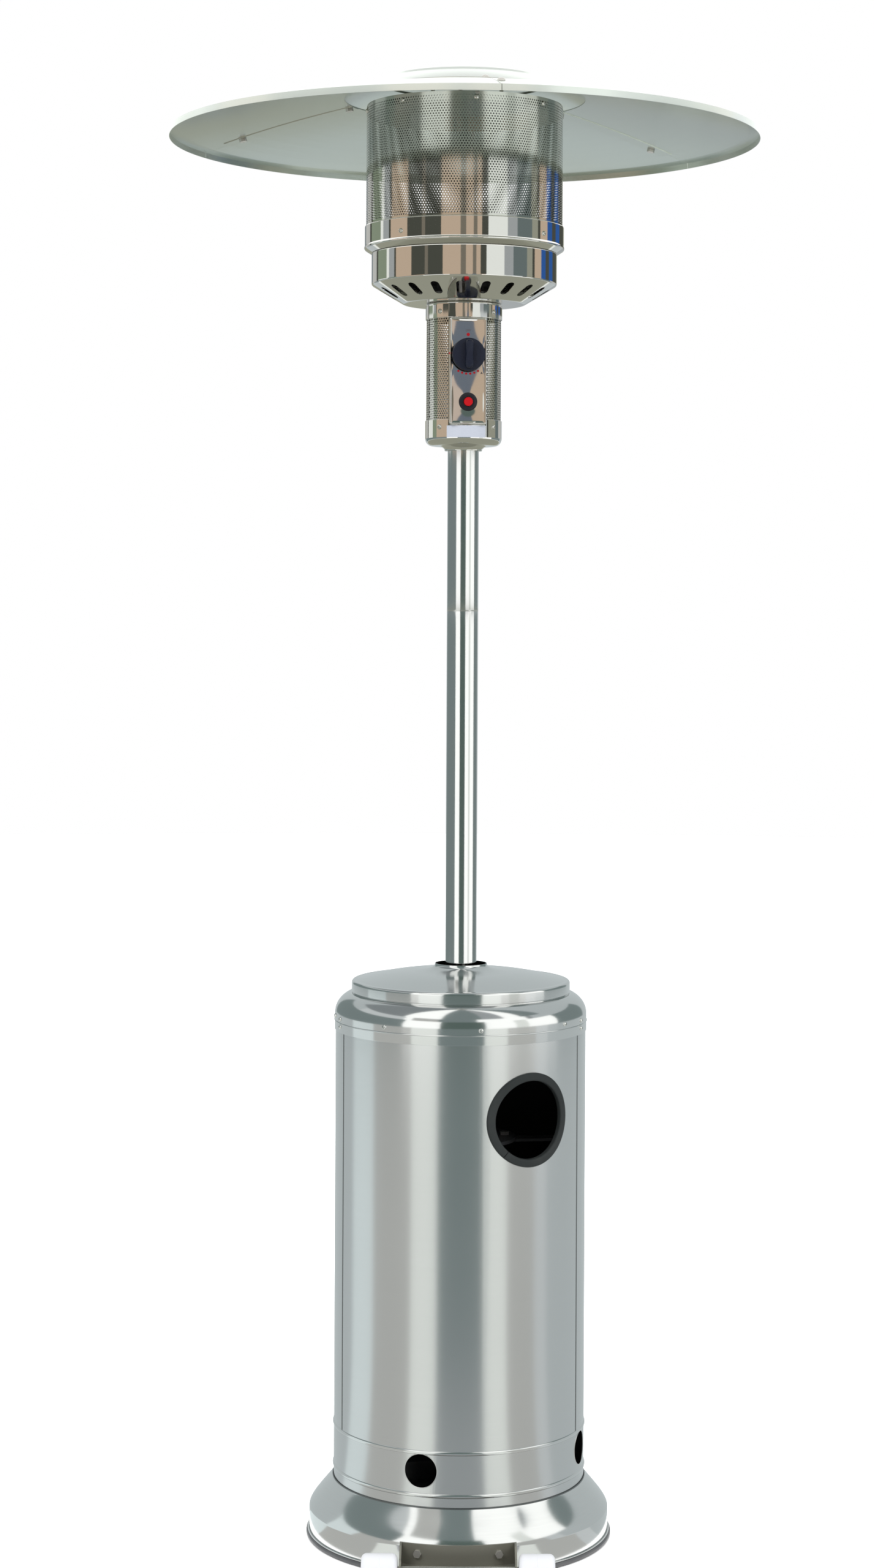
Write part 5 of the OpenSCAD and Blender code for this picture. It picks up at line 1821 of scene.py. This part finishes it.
class Studio:
    """Camera, floor, soft lights and the cards."""

    view = View()
    floor_r = 14.0
    floor_rough = 0.7
    floor_colours = ((0.955, 0.955, 0.955), (0.935, 0.935, 0.94))
    lamps = (
        Lamp("key", (-2.2, -2.6, 3.6), 2.4, 130.0),
        Lamp("fill", (2.6, -2.4, 2.6), 2.4, 80.0),
        Lamp("top", (0.0, 1.5, 4.6), 3.0, 220.0),
        Lamp("back", (0.0, 9.0, 5.0), 5.0, 240.0, aim=(0.0, 9.0, 0.0)),
    )
    curtains = (
        Curtain("housing_cards", 0.0, 0.69, (
            (-108, Card.DEW), (-80, Card.MIST), (-42, Card.ASH), (-19, Card.CLOUD), (20, Card.SLATE),
            (40, Card.CLOUD), (67, Card.ASH), (80, Card.HAZE), (180, Card.DEW))),
        Curtain("pole_cards", 0.69, 1.705, (
            (-150, Card.DEW), (-50, Card.SLATE), (-17, Card.WHITE), (21, Card.PINE), (48, Card.WHITE),
            (60, Card.CLOUD), (92, Card.WHITE), (140, Card.SLATE), (180, Card.DEW))),
        Curtain("shoulder_cards", 1.395, 1.395, (
            (-130, Card.DEW), (-56, Card.STEEL), (-18, Card.WHITE), (20, Card.SLATE), (42, Card.PEWTER),
            (60, Card.WHITE), (84, Card.SLATE), (180, Card.DEW)), 0.04, 0.8),
        Curtain("skirt_cards", 1.395, 1.395, (
            (-112, Card.DEW), (-53, Card.HAZE), (-45, Card.WHITE), (-20, Card.ASH), (15, Card.SLATE),
            (64, Card.WHITE), (70, Card.STEEL), (180, Card.DEW)), 0.8, 1.25),
        Curtain("floor_cards", 0.0015, 0.0015, (
            (-108, Card.DEW), (-80, Card.MIST), (-42, Card.ASH), (-19, Card.CLOUD), (20, Card.PEWTER),
            (40, Card.CLOUD), (67, Card.ASH), (80, Card.HAZE), (180, Card.DEW)), 0.25),
        Curtain("cone_cards", 1.397, 1.397, ((180, Card.SAGE),), 0.04, 1.1),
        Curtain("shade_cards", 1.397, 1.397, ((180, Card.CLOUD),), 1.1, 1.25),
        Curtain("control_cards", 1.705, 1.965, (
            (-152, Card.SAGE), (-133, Card.ASH), (-128, Card.UMBER), (-104, Card.CLOUD), (-87, Card.FERN),
            (-47, Card.SAND), (-24, Card.UMBER), (-4, Card.SAND), (4, Card.BARK), (9.2, Card.ROSE),
            (14.4, Card.INK), (25, Card.SAND), (50, Card.CLOUD), (73, Card.HAZE), (79, Card.UMBER),
            (110, Card.SAGE), (128, Card.DUSK), (153, Card.ASH), (180, Card.PEWTER))),
        Curtain("head_cards", 1.965, 2.24, (
            (-152, Card.STEEL), (-134, Card.ASH), (-129, Card.UMBER), (-107, Card.FERN), (-102, Card.CLOUD),
            (-92, Card.PEWTER), (-89, Card.UMBER), (-65, Card.SAND), (-47, Card.UMBER), (-43, Card.BARK),
            (-25, Card.UMBER), (-4, Card.SAND), (2, Card.BARK), (10, Card.SAND), (14, Card.BARK),
            (19, Card.SAND), (26, Card.UMBER), (48, Card.CLOUD), (60, Card.PEWTER), (80, Card.DUSK),
            (89, Card.SAGE), (93, Card.UMBER), (106, Card.SAND), (116, Card.BLUE), (125, Card.UMBER),
            (137, Card.BLUE), (158, Card.UMBER), (180, Card.SAGE))),
        Curtain("rim_cards", 2.25, 3.4, ((180, Card.WHITE),)),
    )

    def __init__(self) -> None:
        """Keeps the card materials that are in use."""
        self.glows: dict[Card, bpy.types.Material] = {}

    def build(self) -> None:
        """Builds the whole studio."""
        self.camera()
        self.world()
        self.floor()
        self.lights()
        for curtain in self.curtains:
            self.hang(curtain)

    def camera(self) -> None:
        """A level camera with a slight roll, at the photograph's place."""
        view = self.view
        data = bpy.data.cameras.new("camera")
        data.sensor_fit = "AUTO"
        data.sensor_width = view.sensor
        data.lens = view.lens
        data.shift_x, data.shift_y = view.shift
        data.clip_start, data.clip_end = view.clip
        camera = bpy.data.objects.new("camera", data)
        camera.location = view.place
        camera.rotation_euler = (math.radians(view.tilt), math.radians(view.roll), 0.0)
        bpy.context.scene.collection.objects.link(camera)
        bpy.context.scene.camera = camera

    def world(self) -> None:
        """A white surround."""
        world = bpy.data.worlds.new("surround")
        world.use_nodes = True
        back = world.node_tree.nodes["Background"]
        back.inputs["Color"].default_value = (1.0, 1.0, 1.0, 1.0)
        back.inputs["Strength"].default_value = 1.0
        bpy.context.scene.world = world
        bpy.context.scene.view_settings.view_transform = "Standard"

    def floor(self) -> None:
        """A pale floor."""
        points = [(x, y, 0.0) for x, y in arc((0.0, 0.0), self.floor_r, 0, 356.25, 95)]
        floor = mesh_piece("floor", points, [tuple(range(len(points)))], outward=False)
        graph = Graph("floor_paint")
        spot = graph.vector(*graph.place())
        colour = graph.blend(graph.noise(spot, PAVING), *self.floor_colours)
        floor.data.materials.append(graph.surface(Base_Color=colour, Roughness=self.floor_rough))

    def lights(self) -> None:
        """Three large soft lights, and one over the floor behind."""
        for lamp in self.lamps:
            data = bpy.data.lights.new(lamp.name, "AREA")
            data.shape, data.size, data.energy = "DISK", lamp.size, lamp.power
            light = bpy.data.objects.new(lamp.name, data)
            light.location = lamp.place
            way = Vector(lamp.aim) - Vector(lamp.place)
            light.rotation_euler = way.to_track_quat("-Z", "Y").to_euler()
            light.visible_camera = light.visible_glossy = False
            bpy.context.scene.collection.objects.link(light)

    def hang(self, curtain: Curtain) -> None:
        """Hangs one ring of cards.

        Args:
            curtain: the ring.
        """
        start = -180.0
        for number, (end, card) in enumerate(curtain.cards):
            steps = max(2, int((end - start) / 4))
            edges = ((curtain.reach, curtain.low), (curtain.top_reach, curtain.high))
            points = [about(reach, azimuth, z) for azimuth in np.radians(np.linspace(start, end, steps + 1))
                      for reach, z in edges]
            piece = mesh_piece(f"{curtain.name}_{number}", points, gridded(1, steps), outward=False)
            if card not in self.glows:
                self.glows[card] = card.material()
            piece.data.materials.append(self.glows[card])
            piece.visible_camera = piece.visible_diffuse = piece.visible_shadow = False
            piece.visible_transmission = piece.visible_volume_scatter = False
            start = end


def main() -> None:
    """Builds everything."""
    logging.basicConfig(level=logging.INFO, format="%(message)s")
    for thing in list(bpy.context.scene.objects):
        bpy.data.objects.remove(thing)
    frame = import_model()
    Studio().build()
    palette = Palette()
    for group in (Base, Housing, ControlHead, Burner, Reflector):
        group(palette, frame["nodes"]).build()
        LOG.info("%s is built", group.__name__)


if __name__ == "__main__":
    main()
